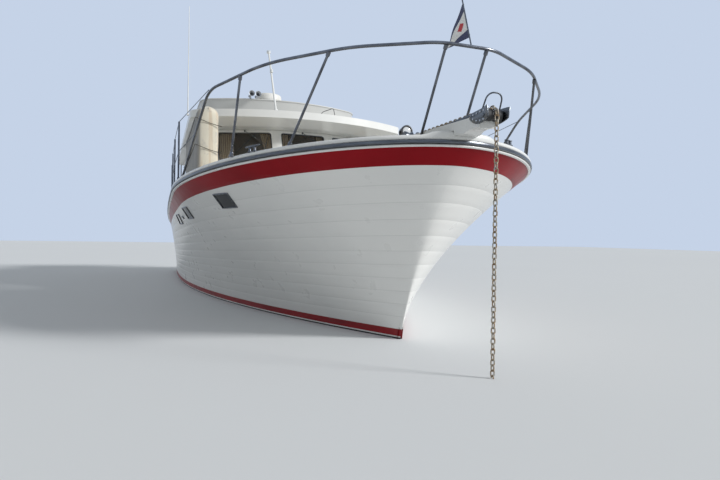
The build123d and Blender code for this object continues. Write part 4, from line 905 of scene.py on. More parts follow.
deckGear = {
    # node: finish, body, slot, eased edge
    "deck": ("nonSlip", "hull", "deck_cream", 0),
    "house_side_port": ("house", "hull", "house_white", 0.006),
    "house_side_starboard": ("house", "hull", "house_white", 0.006),
    "house_aft_wall": ("house", "hull", "house_white", 0.006),
    "house_front": ("house", "hull", "house_white", 0.012),
    "boat_deck": ("house", "hull", "house_white", 0.018),
    "flybridge_coaming": ("coaming", "hull", "house_white", 0.010),
    "helm_console": ("house", "hull", "house_white", 0.012),
    "helm_seat": ("house", "hull", "house_white", 0.012),
    "trunk_cabin": ("house", "hull", "house_white", 0.004),
    "hatch_coaming": ("trim", "hull", "trim_white", 0.006),
    "hatch_lid": ("trim", "hatch_lid", "house_white", 0.003),
    "saloon_door": ("teakUp", "saloon_door", "teak", 0.003),
    "door_window": ("glass", "saloon_door", "glazing", 0),
    "saloon_sole": ("teak", "hull", "teak", 0),
    "windscreen": ("glass", "hull", "glazing", 0),
    "side_windows": ("glass", "hull", "glazing", 0),
    "engine": ("engine", "hull", "engine_paint", 0.02),
    "propeller": ("bronze", "propeller", "bronze", 0.002),
    "propeller_shaft": ("steel", "propeller", "stainless", 0),
    "rudder": ("bottom", "rudder", "bottom_paint", 0),
    "swim_platform": ("teak", "hull", "teak", 0.008),
    "helm_wheel": ("steel", "helm_wheel", "stainless", 0),
    "deck_posts": ("steel", "hull", "stainless", 0),
    "flybridge_ladder": ("teakUp", "hull", "stainless", 0.004),
    "whip_mount": ("steel", "hull", "stainless", 0.004),
    "vhf_whip": ("trim", "vhf_whip", "mast_white", 0),
    "bow_roller": ("rubber", "bow_roller", "roller_rubber", 0.003),
    "anchor": ("zinc", "hull", "galvanised", 0.003),
    "pennant_staff": ("rub", "hull", "stainless", 0),
}


def buildCarriedNodes():
    for node, (look, body, slot, bevel) in deckGear.items():
        smoothCopy(node, node + "_finished", look, body, slot, bevel)


gate = {
    "looks": ["planks", "strake", "trim", "rub", "steel"],
    # heights from the sheer at the transom, and the look below each
    "marks": [(-bands["strakeDepth"], 0), (0.0, 1), (0.022, 2), (0.056, 3)],
    # hinges and latch: aft of one x, or beyond a y and aft of another x
    "hingesX": -6.058, "latchY": 1.053, "latchX": -6.03,
}


def buildGate():
    level = sheerZ(sternX(sheerZ(hullForm["sternFoot"])))

    def lookOf(face):
        place = face.calc_center_median()
        if place.x < gate["hingesX"] or (place.y > gate["latchY"] and place.x < gate["latchX"]):
            return 4
        return next((look for mark, look in gate["marks"] if place.z - level < mark), 2)

    def cutBands(work):
        for mark, look in gate["marks"]:
            cutLevel(work, level + mark)
        cutLevel(work, level + bands["top"], clear_outer=True)

    smoothCopy("transom_gate", "transomGate", gate["looks"], "transom_gate", "hull_white", 0.0015, 30, lookOf,
               cutBands)


house = {
    "topZ": 2.84, "frontX": 1.4, "panelHalf": 0.46, "half": 1.5, "rake": math.tan(math.radians(27)),
    "sweep": 0.4519, "low": 2.12, "high": 2.79, "corner": 0.044,
    "panes": [(-1.39, -0.545), (-0.375, 0.375), (0.545, 1.39)],
    # aft x, fore x, lower z, upper z
    "sidePanes": [(-3.25, -2.15, 1.93, 2.65), (-2.03, -0.75, 1.93, 2.65), (-0.63, 0.56, 1.96, 2.65)],
    "gasket": 0.011, "gasketIn": 0.012, "barHalf": (0.012, 0.014), "barIn": 0.021,
    "sill": 0.012, "sillDrop": 0.018, "sillPast": 0.02, "sillProud": 0.006,
}


def frontX(y, z):
    sweep = max(0, abs(y) - house["panelHalf"]) * house["sweep"]
    return house["frontX"] + (house["topZ"] - z) * house["rake"] - sweep


def frontSpot(y, z):
    return Vector((frontX(y, z), y, z))


def frontWay(y):
    turn = -math.copysign(house["sweep"], y) if abs(y) > house["panelHalf"] else 0
    return Vector((1, -turn, house["rake"])).normalized()


def buildWindowTrim():
    gaskets, sills = Shape(), Shape()
    h = house
    for low, high in h["panes"]:
        way = frontWay((low + high) / 2)
        ring = roundedBox((low, h["low"]), (high, h["high"]), h["corner"])
        gaskets.tube([frontSpot(y, z) - way * h["gasketIn"] for y, z in ring], h["gasket"], 8, loop=True)
        sills.tube([frontSpot(y, h["low"] - h["sillDrop"]) + way * h["sillProud"]
                    for y in (low - h["sillPast"], high + h["sillPast"])], h["sill"], 8)
    long, wide = h["barHalf"]
    for side in (-1, 1):
        for aft, fore, low, high in h["sidePanes"]:
            ring = roundedBox((aft, low), (fore, high), h["corner"])
            edge = [(x, side * (h["half"] - h["gasketIn"]), z) for x, z in ring]
            gaskets.tube(edge, h["gasket"], 8, loop=True)
            x, y = (aft + fore) / 2, side * (h["half"] - h["barIn"])
            gaskets.box((x - long, y - wide, low), (x + long, y + wide, high))
    gaskets.place("windowGaskets", "rub", "stainless")
    sills.place("windowSills", "trim", "house_white")


wipers = {
    "pivots": [-0.95, 0.0, 0.95], "above": 0.022, "arm": 0.42, "blade": 0.44, "off": 0.022,
    # drop and reach of an arm, and of a blade, for each metre of it
    "armLean": (0.62, 0.75), "bladeLean": (0.96, 0.25),
    "boss": [(0, 0.014), (0.022, 0.014), (0.026, 0.010), (0.027, 0.001)],
}


def buildWipers():
    metal, blades = Shape(), Shape()
    k = wipers
    for y in k["pivots"]:
        z = house["high"] + k["above"]
        way = frontWay(y)
        foot = frontSpot(y, z)
        metal.turned(foot - way * 0.004, way, k["boss"], 12)
        tipZ, tipY = z - k["arm"] * k["armLean"][0], y + k["arm"] * k["armLean"][1] * (1 if y <= 0 else -1)
        tip = frontSpot(tipY, tipZ) + way * k["off"]
        metal.tube([foot + way * 0.018, foot.lerp(tip, 0.5) + way * 0.024, tip], 0.004, 6)
        low, high = (frontSpot(tipY + k["blade"] * share * k["bladeLean"][1],
                               tipZ + k["blade"] * share * k["bladeLean"][0]) + way * 0.008
                     for share in (-0.5, 0.5))
        blades.tube([low, low.lerp(high, 0.5) + way * 0.008, high], 0.006, 6)
    metal.place("wiperArms", "rub", "stainless")
    blades.place("wiperBlades", "rubber", "black_case")


curtains = {
    "top": 2.828, "low": 2.095, "off": 0.062, "pleat": 0.050, "deep": 0.008, "thick": 0.0012, "sway": 0.004,
    "fullness": 1.6, "rows": 36,
    # y at the pane's jamb, y of the free edge at the top, y of the free edge at the foot
    "runs": [(-1.395, -1.135, -1.135), (-0.545, -0.72, -0.565), (-0.375, -0.235, -0.36),
             (0.375, 0.235, 0.36), (0.545, 0.72, 0.565), (1.395, 1.135, 1.135)],
}


def buildCurtains():
    k = curtains
    drop = k["top"] - k["low"]
    for number, (jamb, topEdge, footEdge) in enumerate(k["runs"]):
        wide = abs(topEdge - jamb)
        folds = max(3, round(wide / k["pleat"]))
        rows, spots = [], []
        for r in range(k["rows"] + 1):
            share = r / k["rows"]
            z = k["top"] - share * drop
            gather = min(share / 0.85, 1) ** 1.3
            edge = topEdge + (footEdge - topEdge) * gather
            deep = k["deep"] * (1 + 0.5 * abs(wide - abs(edge - jamb)) / wide)
            rows.append([])
            spots.append([])
            for c in range(folds * 10 + 1):
                along = c / (folds * 10)
                y = jamb + (edge - jamb) * along
                wave = math.sin(along * folds * math.tau + 0.4 * math.sin(share * 3 + number))
                sway = noise.noise(Vector((along * 5, share * 3, number * 7.3))) * k["sway"]
                off = k["off"] + deep * 0.6 + deep * wave * (0.5 + 0.5 * share) + sway
                rows[-1].append((frontX(y, z) - off, y, z))
                spots[-1].append((along * wide * k["fullness"], share * drop))
        nodes = ["curtains"] if number == 0 else []
        piece = clothPiece("curtain%d" % (number + 1), rows, spots, "curtain", "curtain_cloth", nodes,
                           k["thick"])
        lengths = [pathLength(row) for row in rows]
        high = pathLength([row[0] for row in rows])


roofGear = {
    # turned sections: distance along the axis, radius
    "dome": [(0.0, 0.240), (0.012, 0.256), (0.075, 0.262), (0.082, 0.262), (0.086, 0.256), (0.092, 0.256),
             (0.096, 0.262), (0.150, 0.261), (0.180, 0.257), (0.200, 0.243), (0.211, 0.215), (0.2175, 0.13),
             (0.219, 0.001)],
    "bell": [(-0.19, 0.001), (-0.19, 0.022), (-0.175, 0.026), (-0.12, 0.026), (-0.10, 0.018), (-0.02, 0.020),
             (0.03, 0.027), (0.062, 0.038), (0.080, 0.048), (0.088, 0.0545), (0.090, 0.055), (0.089, 0.051),
             (0.078, 0.043), (0.055, 0.030), (0.02, 0.018), (-0.02, 0.012), (-0.06, 0.001)],
    "domeAt": (-0.33, -0.27), "domeFoot": 3.630, "hornsY": (-0.69, -0.57),
    "mast": [(1.88, -0.56, 3.04), (1.335, -0.59, 4.165)], "mastFoot": 3.060,
    "wire": [(1.93, 0.16, 3.05), (1.93, 0.22, 3.105), (1.93, 0.36, 3.165), (1.93, 0.385, 3.168),
             (1.925, 0.40, 3.15), (1.92, 0.425, 3.05)],
}


def buildRoofGear():
    k = roofGear
    x, y = k["domeAt"]
    dome = Shape().turned((x, y, k["domeFoot"]), up, k["dome"], 64)
    dome.turned((x, y, k["domeFoot"] - 0.030), up, [(0, 0.11), (0.030, 0.11)], 40)
    dome.place("radarDome", "radome", "radome_white", "radome", angle=50)
    horns = Shape()
    for y in k["hornsY"]:
        horns.turned((0.18, y, 3.705), (1, 0, 0), k["bell"], 32)
        horns.box((0.06, y - 0.013, 3.645), (0.12, y + 0.013, 3.69))
    horns.place("twinHorns", "horn", "stainless", "horns", angle=45)


def buildMast():
    foot, head = (Vector(spot) for spot in roofGear["mast"])
    mast, lamp = Shape(), Shape()
    at, mid = foot.lerp(head, 0.02), foot.lerp(head, 0.66)
    mast.tube([at, foot.lerp(head, 0.5), head], [0.0175, 0.016, 0.013], 16)
    mast.turned((at.x, at.y, roofGear["mastFoot"]), up,
                [(0, 0.038), (0.010, 0.038), (0.014, 0.030), (0.030, 0.022)], 24)
    mast.turned(head, up, [(-0.022, 0.018), (-0.02, 0.034), (-0.012, 0.034)], 20)
    mast.turned(head, up, [(0.012, 0.034), (0.018, 0.032), (0.0225, 0.014)], 20)
    lamp.turned(head, up, [(-0.012, 0.029), (0.012, 0.029)], 20)
    # a second lamp, on a bracket further down
    for shape, rise, rows in ((mast, -0.02, [(0, 0.010), (0.002, 0.026), (0.010, 0.028)]),
                              (lamp, -0.01, [(0, 0.025), (0.028, 0.025)]),
                              (mast, 0.018, [(0, 0.028), (0.008, 0.026), (0.012, 0.008)])):
        shape.turned(mid + Vector((0.028, 0, rise)), up, rows, 18)
    mast.box((mid.x - 0.005, mid.y - 0.008, mid.z - 0.02), (mid.x + 0.028, mid.y + 0.008, mid.z - 0.012))
    mast.place("signalMast", "trim", "mast_white", "signal_mast")
    lamp.place("mastLamps", "lampGlass", "glazing")


def buildRoofWire():
    Shape().tube(roofGear["wire"], 0.0055, 8).place("roofWire", "black", "black_case")


buildCarriedNodes()
buildGate()
buildWindowTrim()
buildWipers()
buildCurtains()
buildRoofGear()
buildMast()
buildRoofWire()
print("yacht: house and roof dressed")


# Foredeck gear, rails and anchor

rails = {
    "radius": 0.0142, "post": 0.0120, "wire": 0.0042, "sidePost": 0.0112, "foot": (3.607, 2.075, 1.726),
    # port half of the bow rail, from its aft foot to the nose: point, radius of the bend there
    "path": [((3.61, 2.075, 1.745), 0), ((4.93, 1.885, 2.53), 0.6), ((5.88, 1.49, 2.58), 1.5),
             ((6.5, 0.9, 2.612), 1.1), ((6.84, 0.26, 2.632), 0.48)],
    # foot x, foot y, head
    "stanchions": [(6.33, 0.2, (6.836, 0.19, 2.631)), (5.89, 1.29, (6.358, 1.035, 2.605)),
                   (5.27, 1.7, (5.5, 1.648, 2.56))],
    "sidePosts": [3.38, 2.28, 1.1, -0.1, -1.3, -2.5, -3.5], "postHigh": 0.751, "postIn": 0.03,
    "wireLow": 0.371, "lowMeets": 0.55,
    "flange": [(0, 0.029), (0.005, 0.029), (0.009, 0.025), (0.011, 0.017)],
    "railFlange": [(0, 0.034), (0.006, 0.034), (0.011, 0.028), (0.014, 0.018)],
    "lowSleeve": [(0, 0.018), (0.035, 0.018), (0.040, 0.0145)],
    "highSleeve": [(0, 0.0145), (0.004, 0.018), (0.040, 0.018)],
    "postFoot": [(-0.004, 0.030), (0.005, 0.030), (0.009, 0.026), (0.010, 0.017), (0.045, 0.016)],
}


def deckHalf(x):
    return lineHalf(stemHead - x, hullForm["deckLine"])


def onSide(point, side):
    return Vector((point[0], side * point[1], point[2]))


def buildBowRail():
    k = rails
    port = [Vector(p) for p, bend in k["path"]]
    bends = [bend for p, bend in k["path"][1:]]
    line = roundPath(port + [onSide(p, -1) for p in reversed(port)], bends + bends[::-1], 14)
    shape = Shape()
    shape.tube([onSide(k["foot"], 1)] + line[1:-1] + [onSide(k["foot"], -1)], k["radius"], 18)
    for footX, footY, head in k["stanchions"]:
        base = sheerZ(footX) + bands["top"]
        for side in (-1, 1):
            top, low = onSide(head, side), Vector((footX, side * footY, base - 0.06))
            start = low.lerp(top, (base - 0.004 - low.z) / (top.z - low.z))
            shape.tube([start, top], k["post"], 14)
            way = (top - start).normalized()
            shape.turned(start, up, k["flange"], 24)
            shape.turned(start + way * 0.006, way, k["lowSleeve"], 18)
            shape.turned(top - way * 0.050, way, k["highSleeve"], 18)
    footZ = sheerZ(k["path"][0][0][0]) + bands["top"] - 0.002
    for side in (-1, 1):
        shape.turned((k["foot"][0], side * k["foot"][1], footZ), up, k["railFlange"], 24)
    shape.place("bowRail", "rail", "stainless", "bow_rail", angle=40)


def buildSideRails():
    k = rails
    start, end = (Vector(p) for p, bend in k["path"][:2])
    high, thick = k["postHigh"], k["sidePost"]
    post = k["postFoot"] + [(0.048, thick), (high - 0.004, thick), (high, 0.008), (high, 0.0005)]
    for side, label, node in ((1, "Port", "side_rail_port"), (-1, "Starboard", "side_rail_starboard")):
        tops, lows = [end], [start.lerp(end, k["lowMeets"])]
        posts = Shape()
        for x in k["sidePosts"]:
            y, base = deckHalf(x) - k["postIn"], sheerZ(x) + bands["top"]
            tops.append((x, y, base + high - k["wire"]))
            lows.append((x, y, base + k["wireLow"]))
            posts.turned((x, side * y, base), up, post, 16)
        for run in (tops, lows):
            posts.tube([onSide(p, side) for p in run], k["wire"], 8)
        posts.place("sideRail" + label, "rail", "stainless", node)


plank = {"sole": 1.888, "eased": 0.014}


def buildPlank():
    smoothCopy("anchor_platform", "pulpitPlank", "trim", "hull", "trim_white", plank["eased"], 32,
               shape=lambda work: cutLevel(work, plank["sole"], clear_inner=True))


cheeks = {
    "channel": 0.046, "channelWall": 0.004, "thick": 0.008, "half": 0.0705, "flare": 0.020, "lean": 0.012,
    "aft": 7.02, "tip": 7.305, "axle": (7.225, 1.985), "axleHalf": 0.0785, "bail": 0.0062,
    "nut": [(0, 0.016), (0.009, 0.016), (0.011, 0.013)],
    # share along, upper z, lower z, flare
    "rows": [(0.0, 2.026, 1.985, 0.0), (0.15, 2.030, 1.955, 0.0), (0.32, 2.034, 1.935, 0.0),
             (0.50, 2.038, 1.928, 0.0), (0.66, 2.041, 1.930, 0.05), (0.80, 2.044, 1.938, 0.30),
             (0.92, 2.046, 1.950, 0.72), (1.0, 2.044, 1.962, 1.0)],
    # the bail's port half, and the bends in it
    "hoop": [(7.195, 0.075, 2.015), (7.205, 0.075, 2.04), (7.262, 0.066, 2.150)], "bends": [0.03, 0.060],
    # side view of the channel that the chain runs aft in
    "channelLine": [(6.24, 1.970), (7.06, 2.003), (7.06, 2.040), (6.52, 2.028), (6.36, 2.016)],
}


def buildCheeks():
    k = cheeks
    shape, bolts = Shape(), []
    axleX, axleZ = k["axle"]
    for side in (-1, 1):
        rings = []
        for share, high, low, flare in k["rows"]:
            x = k["aft"] + share * (k["tip"] - k["aft"])
            inner, lean = k["half"] + flare * k["flare"], flare * k["lean"]
            rings.append([(x, side * (inner + a * k["thick"] + lean * (b - 0.5)), low + b * (high - low))
                          for a, b in ((0, 0), (1, 0), (1, 1), (0, 1))])
            if share < 0.7:
                bolts += [((x + 0.016, side * (k["half"] + k["thick"]), z), (0, side, 0), share * 9)
                          for z in (high - 0.020, low + 0.022)]
        shape.loft(rings)
    long = k["axleHalf"]
    shape.turned((axleX, -long, axleZ), (0, 1, 0), [(0, 0.008), (2 * long, 0.008)], 20)
    for side in (-1, 1):
        shape.turned((axleX, side * (long - 0.0005), axleZ), (0, side, 0), k["nut"], 6)
    for side in (-1, 1):
        shape.slab(k["channelLine"], *sideSpan(side, k["channel"], k["channel"] + k["channelWall"]))
    hoop = k["hoop"] + [onSide(p, -1) for p in reversed(k["hoop"])]
    shape.tube(roundPath(hoop, k["bends"] + k["bends"][::-1], 8), k["bail"], 12)
    shape.place("rollerCheeks", "rub", "stainless", "roller_cheeks", bevel=0.0015)
    head = Shape().turned((0, 0, -0.001), up, [(0, 0.0085), (0.0055, 0.0085), (0.0065, 0.0065)], 6)
    repeated("cheekBolts", bolts, head.mesh("boltHead"), "steel", "stainless")


chain = {"roller": (7.225, 1.985), "radius": 0.058, "foot": -0.24, "pitch": 0.040, "wire": 0.0055,
         "width": 0.041, "slack": 0.0025, "windlass": (6.01, 2.050), "looseTurn": 0.10, "seed": 4}


# A place on the chain's run, up from its foot, over the roller and aft, and its way there
def chainPoint(distance):
    radius = chain["radius"]
    x, z = chain["roller"]
    rise = z - chain["foot"]
    if distance < rise:
        return Vector((x + radius, 0, chain["foot"] + distance)), Vector((0, 0, 1))
    aftX, aftZ = chain["windlass"][0] - x, chain["windlass"][1] - z
    turn = math.pi - math.atan2(aftZ, -aftX) - math.acos(radius / math.hypot(aftX, aftZ))
    angle = min((distance - rise) / radius, turn)
    past = max(0, distance - rise - radius * turn)
    along = Vector((-math.sin(angle), 0, math.cos(angle)))
    spot = Vector((x + radius * math.cos(angle), 0, z + radius * math.sin(angle)))
    return spot + along * past, along


def buildChain():
    k = chain
    reach = k["roller"][1] - k["foot"] + k["radius"] * 1.6 + k["roller"][0] - k["windlass"][0]
    rows = []
    for i in range(int(reach / k["pitch"]) - 1):
        spot, along = chainPoint(i * k["pitch"])
        rows.append((spot, along, (i % 2) * math.pi / 2))
    half, bend = (k["pitch"] + k["slack"]) / 2 - 0.002, k["width"] / 2 - k["wire"]
    path = []
    for end in (1, -1):
        for step in range(7):
            angle = math.pi * step / 6 + (0 if end > 0 else math.pi)
            path.append((bend * math.cos(angle), 0, end * (half - bend + k["wire"]) + bend * math.sin(angle)))
    link = Shape().tube(path, k["wire"], 8, loop=True).mesh("chainLink", angle=180)
    repeated("anchorChain", rows, link, "zinc", "galvanised", "anchor_chain", LooseTurn=k["looseTurn"],
             Seed=k["seed"])


windlass = {
    "at": (6.01, 2.01),
    # height and breadth of the case's top
    "shoulders": [(1.945, 0.97), (1.965, 0.90), (1.969, 0.80)],
    # one half of the drums' profile
    "drum": [(0.014, 0.036), (0.032, 0.050), (0.045, 0.050), (0.05, 0.030), (0.094, 0.030), (0.100, 0.050),
             (0.105, 0.044), (0.125, 0.036), (0.150, 0.046), (0.174, 0.050), (0.18, 0.044), (0.18, 0.001)],
}


def buildWindlass():
    case = Shape()
    x, z = windlass["at"]
    low = sheerZ(x) + 0.046
    ring = roundedBox((x - 0.128, -0.108), (x + 0.108, 0.108), 0.035, 5)
    rows = [(low, 1.0), (low + 0.03, 1.0)] + windlass["shoulders"]
    middle = x - 0.01
    case.loft([[(middle + (a - middle) * size, b * size, height) for a, b in ring] for height, size in rows])
    case.place("windlassCase", "black", "black_case", "windlass", angle=40)
    drum = [(-reach, radius) for reach, radius in reversed(windlass["drum"])] + windlass["drum"]
    Shape().turned((x, 0, z), (0, 1, 0), drum, 32).place("windlassDrum", "rub", "stainless", angle=40)


searchlight = {
    "at": (4.56, 0.5, 2.35), "forkHalf": 0.0735,
    "case": [(-0.118, 0.001), (-0.118, 0.012), (-0.105, 0.035), (-0.080, 0.052), (-0.045, 0.062),
             (0.0, 0.066), (0.030, 0.068), (0.034, 0.075), (0.058, 0.075), (0.060, 0.072),
             (0.060, 0.060), (0.050, 0.058), (0.045, 0.001)],
    "stand": [(0, 0.045), (0.008, 0.045), (0.012, 0.038), (0.014, 0.016), (0.165, 0.016)],
    "lens": [(0.044, 0.059), (0.048, 0.059), (0.053, 0.045), (0.056, 0.022), (0.057, 0.001)],
}


def buildSearchlight():
    x, y, z = searchlight["at"]
    half = searchlight["forkHalf"]
    body = Shape().turned((x, y, z), (1, 0, 0), searchlight["case"], 40)
    body.turned((x, y, 2.080), up, searchlight["stand"], 24)
    fork = roundPath([(x, y - half, z), (x, y - half, z - 0.10), (x, y + half, z - 0.10), (x, y + half, z)],
                     [0.045, 0.045], 6)
    body.tube(fork, 0.008, 10)
    for side in (-1, 1):
        body.turned((x, y + side * 0.064, z), (0, side, 0), [(0, 0.014), (0.014, 0.014), (0.015, 0.010)], 16)
    body.place("searchlightCase", "black", "black_case", "searchlight", angle=40)
    lens = Shape().turned((x, y, z), (1, 0, 0), searchlight["lens"], 40)
    lens.place("searchlightLens", "lens", "glazing", angle=70)


def buildHatchPane():
    ring = roundedBox((3.315, -0.235), (3.785, 0.235), 0.05, 5)
    pane = Shape().loft([[(x, y, z) for x, y in ring] for z in (2.152, 2.158)])
    pane.place("hatchPane", "smoke", "glazing", body="hatch_lid", bevel=0.001)


cleats = {
    "places": [(5.56, -1), (5.56, 1), (-5.3, -1), (-5.3, 1)], "in": 0.030, "long": 0.112, "high": 0.050,
    # share along half the cleat, radius there
    "horn": [(-1, 0.004), (-0.75, 0.0075), (-0.4, 0.011), (0, 0.012), (0.4, 0.011), (0.75, 0.0075),
             (1, 0.004)],
    "legs": 0.036, "leg": [(0, 0.022), (0.006, 0.021), (0.012, 0.014), (0.046, 0.010)],
    "chock": 6.62, "pins": 0.030, "pin": [(-0.004, 0.026), (0.006, 0.026), (0.010, 0.016), (0.034, 0.015),
                                          (0.040, 0.022), (0.046, 0.020), (0.048, 0.001)],
}


# A place on the gunwale's top and its way forward there
def onGunwale(x, side):
    y, step = deckHalf(x) - cleats["in"], 0.01
    wider, higher = (line(x + step) - line(x - step) for line in (deckHalf, sheerZ))
    along = Vector((2 * step, side * wider, higher))
    return Vector((x, side * y, sheerZ(x) + bands["top"])), along.normalized()


def buildCleats():
    k = cleats
    shape = Shape()
    for x, side in k["places"]:
        spot, along = onGunwale(x, side)
        horn = [spot + along * k["long"] * share + up * (k["high"] + 0.006 * share * share)
                for share, radius in k["horn"]]
        shape.tube(horn, [radius for share, radius in k["horn"]], 14)
        for way in (-1, 1):
            shape.turned(spot + along * k["legs"] * way - up * 0.002, up, k["leg"], 16)
    spot, along = onGunwale(k["chock"], 1)
    for way in (-1, 1):
        shape.turned(spot + along * way * k["pins"], up, k["pin"], 20)
    shape.place("deckCleats", "rub", "stainless", "cleats", angle=40)


buildBowRail()
buildSideRails()
buildCleats()
buildPlank()
buildCheeks()
buildChain()
buildWindlass()
buildSearchlight()
buildHatchPane()
print("yacht: foredeck fitted")


# Cover, pennant, cushions and small gear

cover = {
    "x": (1.4, 3.9), "y": (-1.945, -1.64), "top": 2.63, "round": 0.12, "in": 0.006, "thick": 0.002,
    "stations": 56, "across": 14, "wallRows": 26, "endSteps": (0.80, 0.55, 0.28, 0.0), "bulge": 0.022,
    "lashZ": [2.38, 2.06], "lashSag": 0.045, "lashRise": 0.06, "line": 0.0042,
}


# The cover's section before its folds, up one side, over and down the other
def coverSection(topZ, base):
    k = cover
    low, high = k["y"]
    walls, across, crown = k["wallRows"], k["across"], topZ - k["round"]
    middle, half = (low + high) / 2, (high - low) / 2 - k["in"]
    path = [(high - k["in"], base + (crown - base) * i / walls) for i in range(walls)]
    for i in range(across + 1):
        angle = math.pi * i / across
        path.append((middle + half * math.cos(angle), crown + k["round"] * math.sin(angle) ** 0.9))
    return path + [(low + k["in"], crown - (crown - base) * i / walls) for i in range(1, walls + 1)]


# One end of the cover, drawn in from the last section to its middle
def coverEnd(edge, edgeSpots, sign):
    steps, middle = cover["endSteps"], sum(cover["y"]) / 2
    rings = [[(x + cover["bulge"] * (1 - step * step) * sign, middle + (y - middle) * step,
               z - (1 - step) * 0.02 if z > 2.4 else z) for x, y, z in edge] for step in steps]
    return rings, [[(u + 0.1 * (i + 1) * sign, v) for u, v in edgeSpots] for i in range(len(steps))]


def buildTenderCover():
    k = cover
    aft, fore = k["x"]
    low, high = k["y"]
    middle = (low + high) / 2
    rows, spots = [], []
    for s in range(k["stations"] + 1):
        share = s / k["stations"]
        x = aft + (fore - aft) * share
        pull = 0.050 * max(0.0, 1 - min(share, 1 - share) * (fore - aft) / 0.16) ** 2
        topZ = k["top"] - 0.012 - pull - 0.018 * math.sin(share * math.pi * 3) ** 2
        base = sheerZ(x) + 0.048
        inset = 0.010 + pull * 0.45
        row, spot, girth = [], [], 0.0
        for y, z in coverSection(topZ, base):
            down = (topZ - z) / (topZ - base)
            side = 1 if y > middle else -1
            fold = noise.noise(Vector((x * 2.2, side * 3.0, z * 1.1))) * 0.010
            fold += math.sin(x * 9 + side * 1.7 + 2.2 * math.sin(z * 2.4)) * 0.0032 * down
            for lash in k["lashZ"]:
                fold -= 0.006 * math.exp(-((z - lash) / 0.05) ** 2)
            y = y - side * inset + side * fold * 0.9 if abs(y - middle) > 0.02 else y
            row.append((x, min(max(y, low + 0.001), high - 0.001), z))
            if spot:
                girth += (Vector(row[-1]) - Vector(row[-2])).length
            spot.append((x, girth))
        rows.append(row)
        spots.append(spot)
    aftRings, aftSpots = coverEnd(rows[0], spots[0], -1)
    foreRings, foreSpots = coverEnd(rows[-1], spots[-1], 1)
    piece = clothPiece("tenderCover", aftRings[::-1] + rows + foreRings, aftSpots[::-1] + spots + foreSpots,
                       "canvas", "cover_canvas", ["tender_cover"], k["thick"], angle=70)
    girth = max(spot[-1][1] for spot in spots)


def buildLashings():
    k = cover
    aft, fore = k["x"]
    low, high = k["y"]
    lines = Shape()
    for lash in k["lashZ"]:
        z, path = lash + k["lashRise"], []
        for s in range(41):
            share = s / 40
            path.append((aft - 0.004 + (fore + 0.030 - aft) * share, low - 0.003,
                         z - k["lashSag"] * math.sin(math.pi * share)))
        # round the fore end
        for s in range(1, 13):
            share = s / 12
            bow = math.sin(math.pi * share)
            path.append((fore + 0.032 - 0.004 * (1 - bow), low - 0.003 + (high - low + 0.006) * share,
                         z - 0.09 * share ** 1.4 - 0.02 * bow))
        lines.tube(path, k["line"], 7)
    lines.place("coverLashings", "cordLine", "cover_canvas")


pennant = {
    "foot": (6.838, 0.04, 2.632), "head": (6.652, 0.05, 3.108), "hoist": (0.19, 0.90), "fly": (6.4, 2.745),
    "wave": 0.010, "flutter": 0.002, "thick": 0.0008, "down": 26, "out": 30, "clips": (0.24, 0.55, 0.86),
    "truck": [(-0.002, 0.006), (0.004, 0.011), (0.010, 0.012), (0.016, 0.008), (0.018, 0.001)],
}


def buildPennant():
    k = pennant
    foot, head = Vector(k["foot"]), Vector(k["head"])
    low, high = (foot.lerp(head, share) for share in k["hoist"])
    fly = Vector((k["fly"][0], (low.y + high.y) / 2, k["fly"][1]))
    rows, spots = [], []
    for i in range(k["out"] + 1):
        out = i / k["out"] * 0.985
        rows.append([])
        spots.append([(j / k["down"], out) for j in range(k["down"] + 1)])
        for down, _ in spots[-1]:
            point = high.lerp(low, down).lerp(fly, out)
            wave = k["wave"] * out * math.sin(out * 9 + down * 1.6)
            flutter = k["flutter"] * math.sin(down * 7 + out * 4) * out
            rows[-1].append(point + Vector((0, wave + flutter, 0)))
    piece = clothPiece("pennantFlag", rows, spots, "pennant", "pennant_cloth", ["pennant"], k["thick"], 0.0)
    rings = Shape()
    for share in k["clips"]:
        spot = foot.lerp(head, share) - (head - foot).normalized() * 0.004
        rings.turned(spot, head - foot, [(0, 0.0075), (0.008, 0.0075)], 12)
    rings.turned(head, head - foot, k["truck"], 14).place("pennantClips", "rub", "stainless")


cushions = {
    # node: low corner, high corner
    "seat_cushion": ((-1.612, -0.552, 3.444), (-1.188, 0.552, 3.538)),
    "back_cushion": ((-1.614, -0.552, 3.556), (-1.546, 0.552, 3.852)),
}


def padMesh(name, low, high):
    low, high = Vector(low), Vector(high)
    size, middle = high - low, (high + low) / 2
    work = bmesh.new()
    bmesh.ops.create_cube(work, size=1.0)
    bmesh.ops.subdivide_edges(work, edges=work.edges, cuts=9, use_grid_fill=True)
    for vert in work.verts:
        a, b, c = (2 * v for v in vert.co)
        squeeze = 1 - 0.10 * (abs(a) ** 6 + abs(b) ** 6 + abs(c) ** 6) / 3
        vert.co = middle + Vector((a * size.x, b * size.y, c * size.z)) * 0.5 * squeeze
    mesh = bpy.data.meshes.new(name)
    work.to_mesh(mesh)
    work.free()
    return mesh


def buildCushions():
    for node, (low, high) in cushions.items():
        start = newObject(node + "Work", padMesh(node, low, high))
        grid = start.modifiers.new("grid", "REMESH")
        grid.mode, grid.voxel_size = "VOXEL", 0.011
        done = swollen(start)
        mesh = finishedMesh(done)
        for vert in mesh.vertices:
            vert.co = [min(max(v, a - 0.006), b + 0.006) for v, a, b in zip(vert.co, low, high)]
        for face in mesh.polygons:
            face.use_smooth = True
        for thing in {start, done}:
            bpy.data.objects.remove(thing)
        mesh.materials.clear()
        piece = placePiece(node + "_pad", mesh, "vinyl", "hull", "vinyl", node)
        smooth = piece.modifiers.new("smooth", "SUBSURF")
        smooth.levels = smooth.render_levels = 1


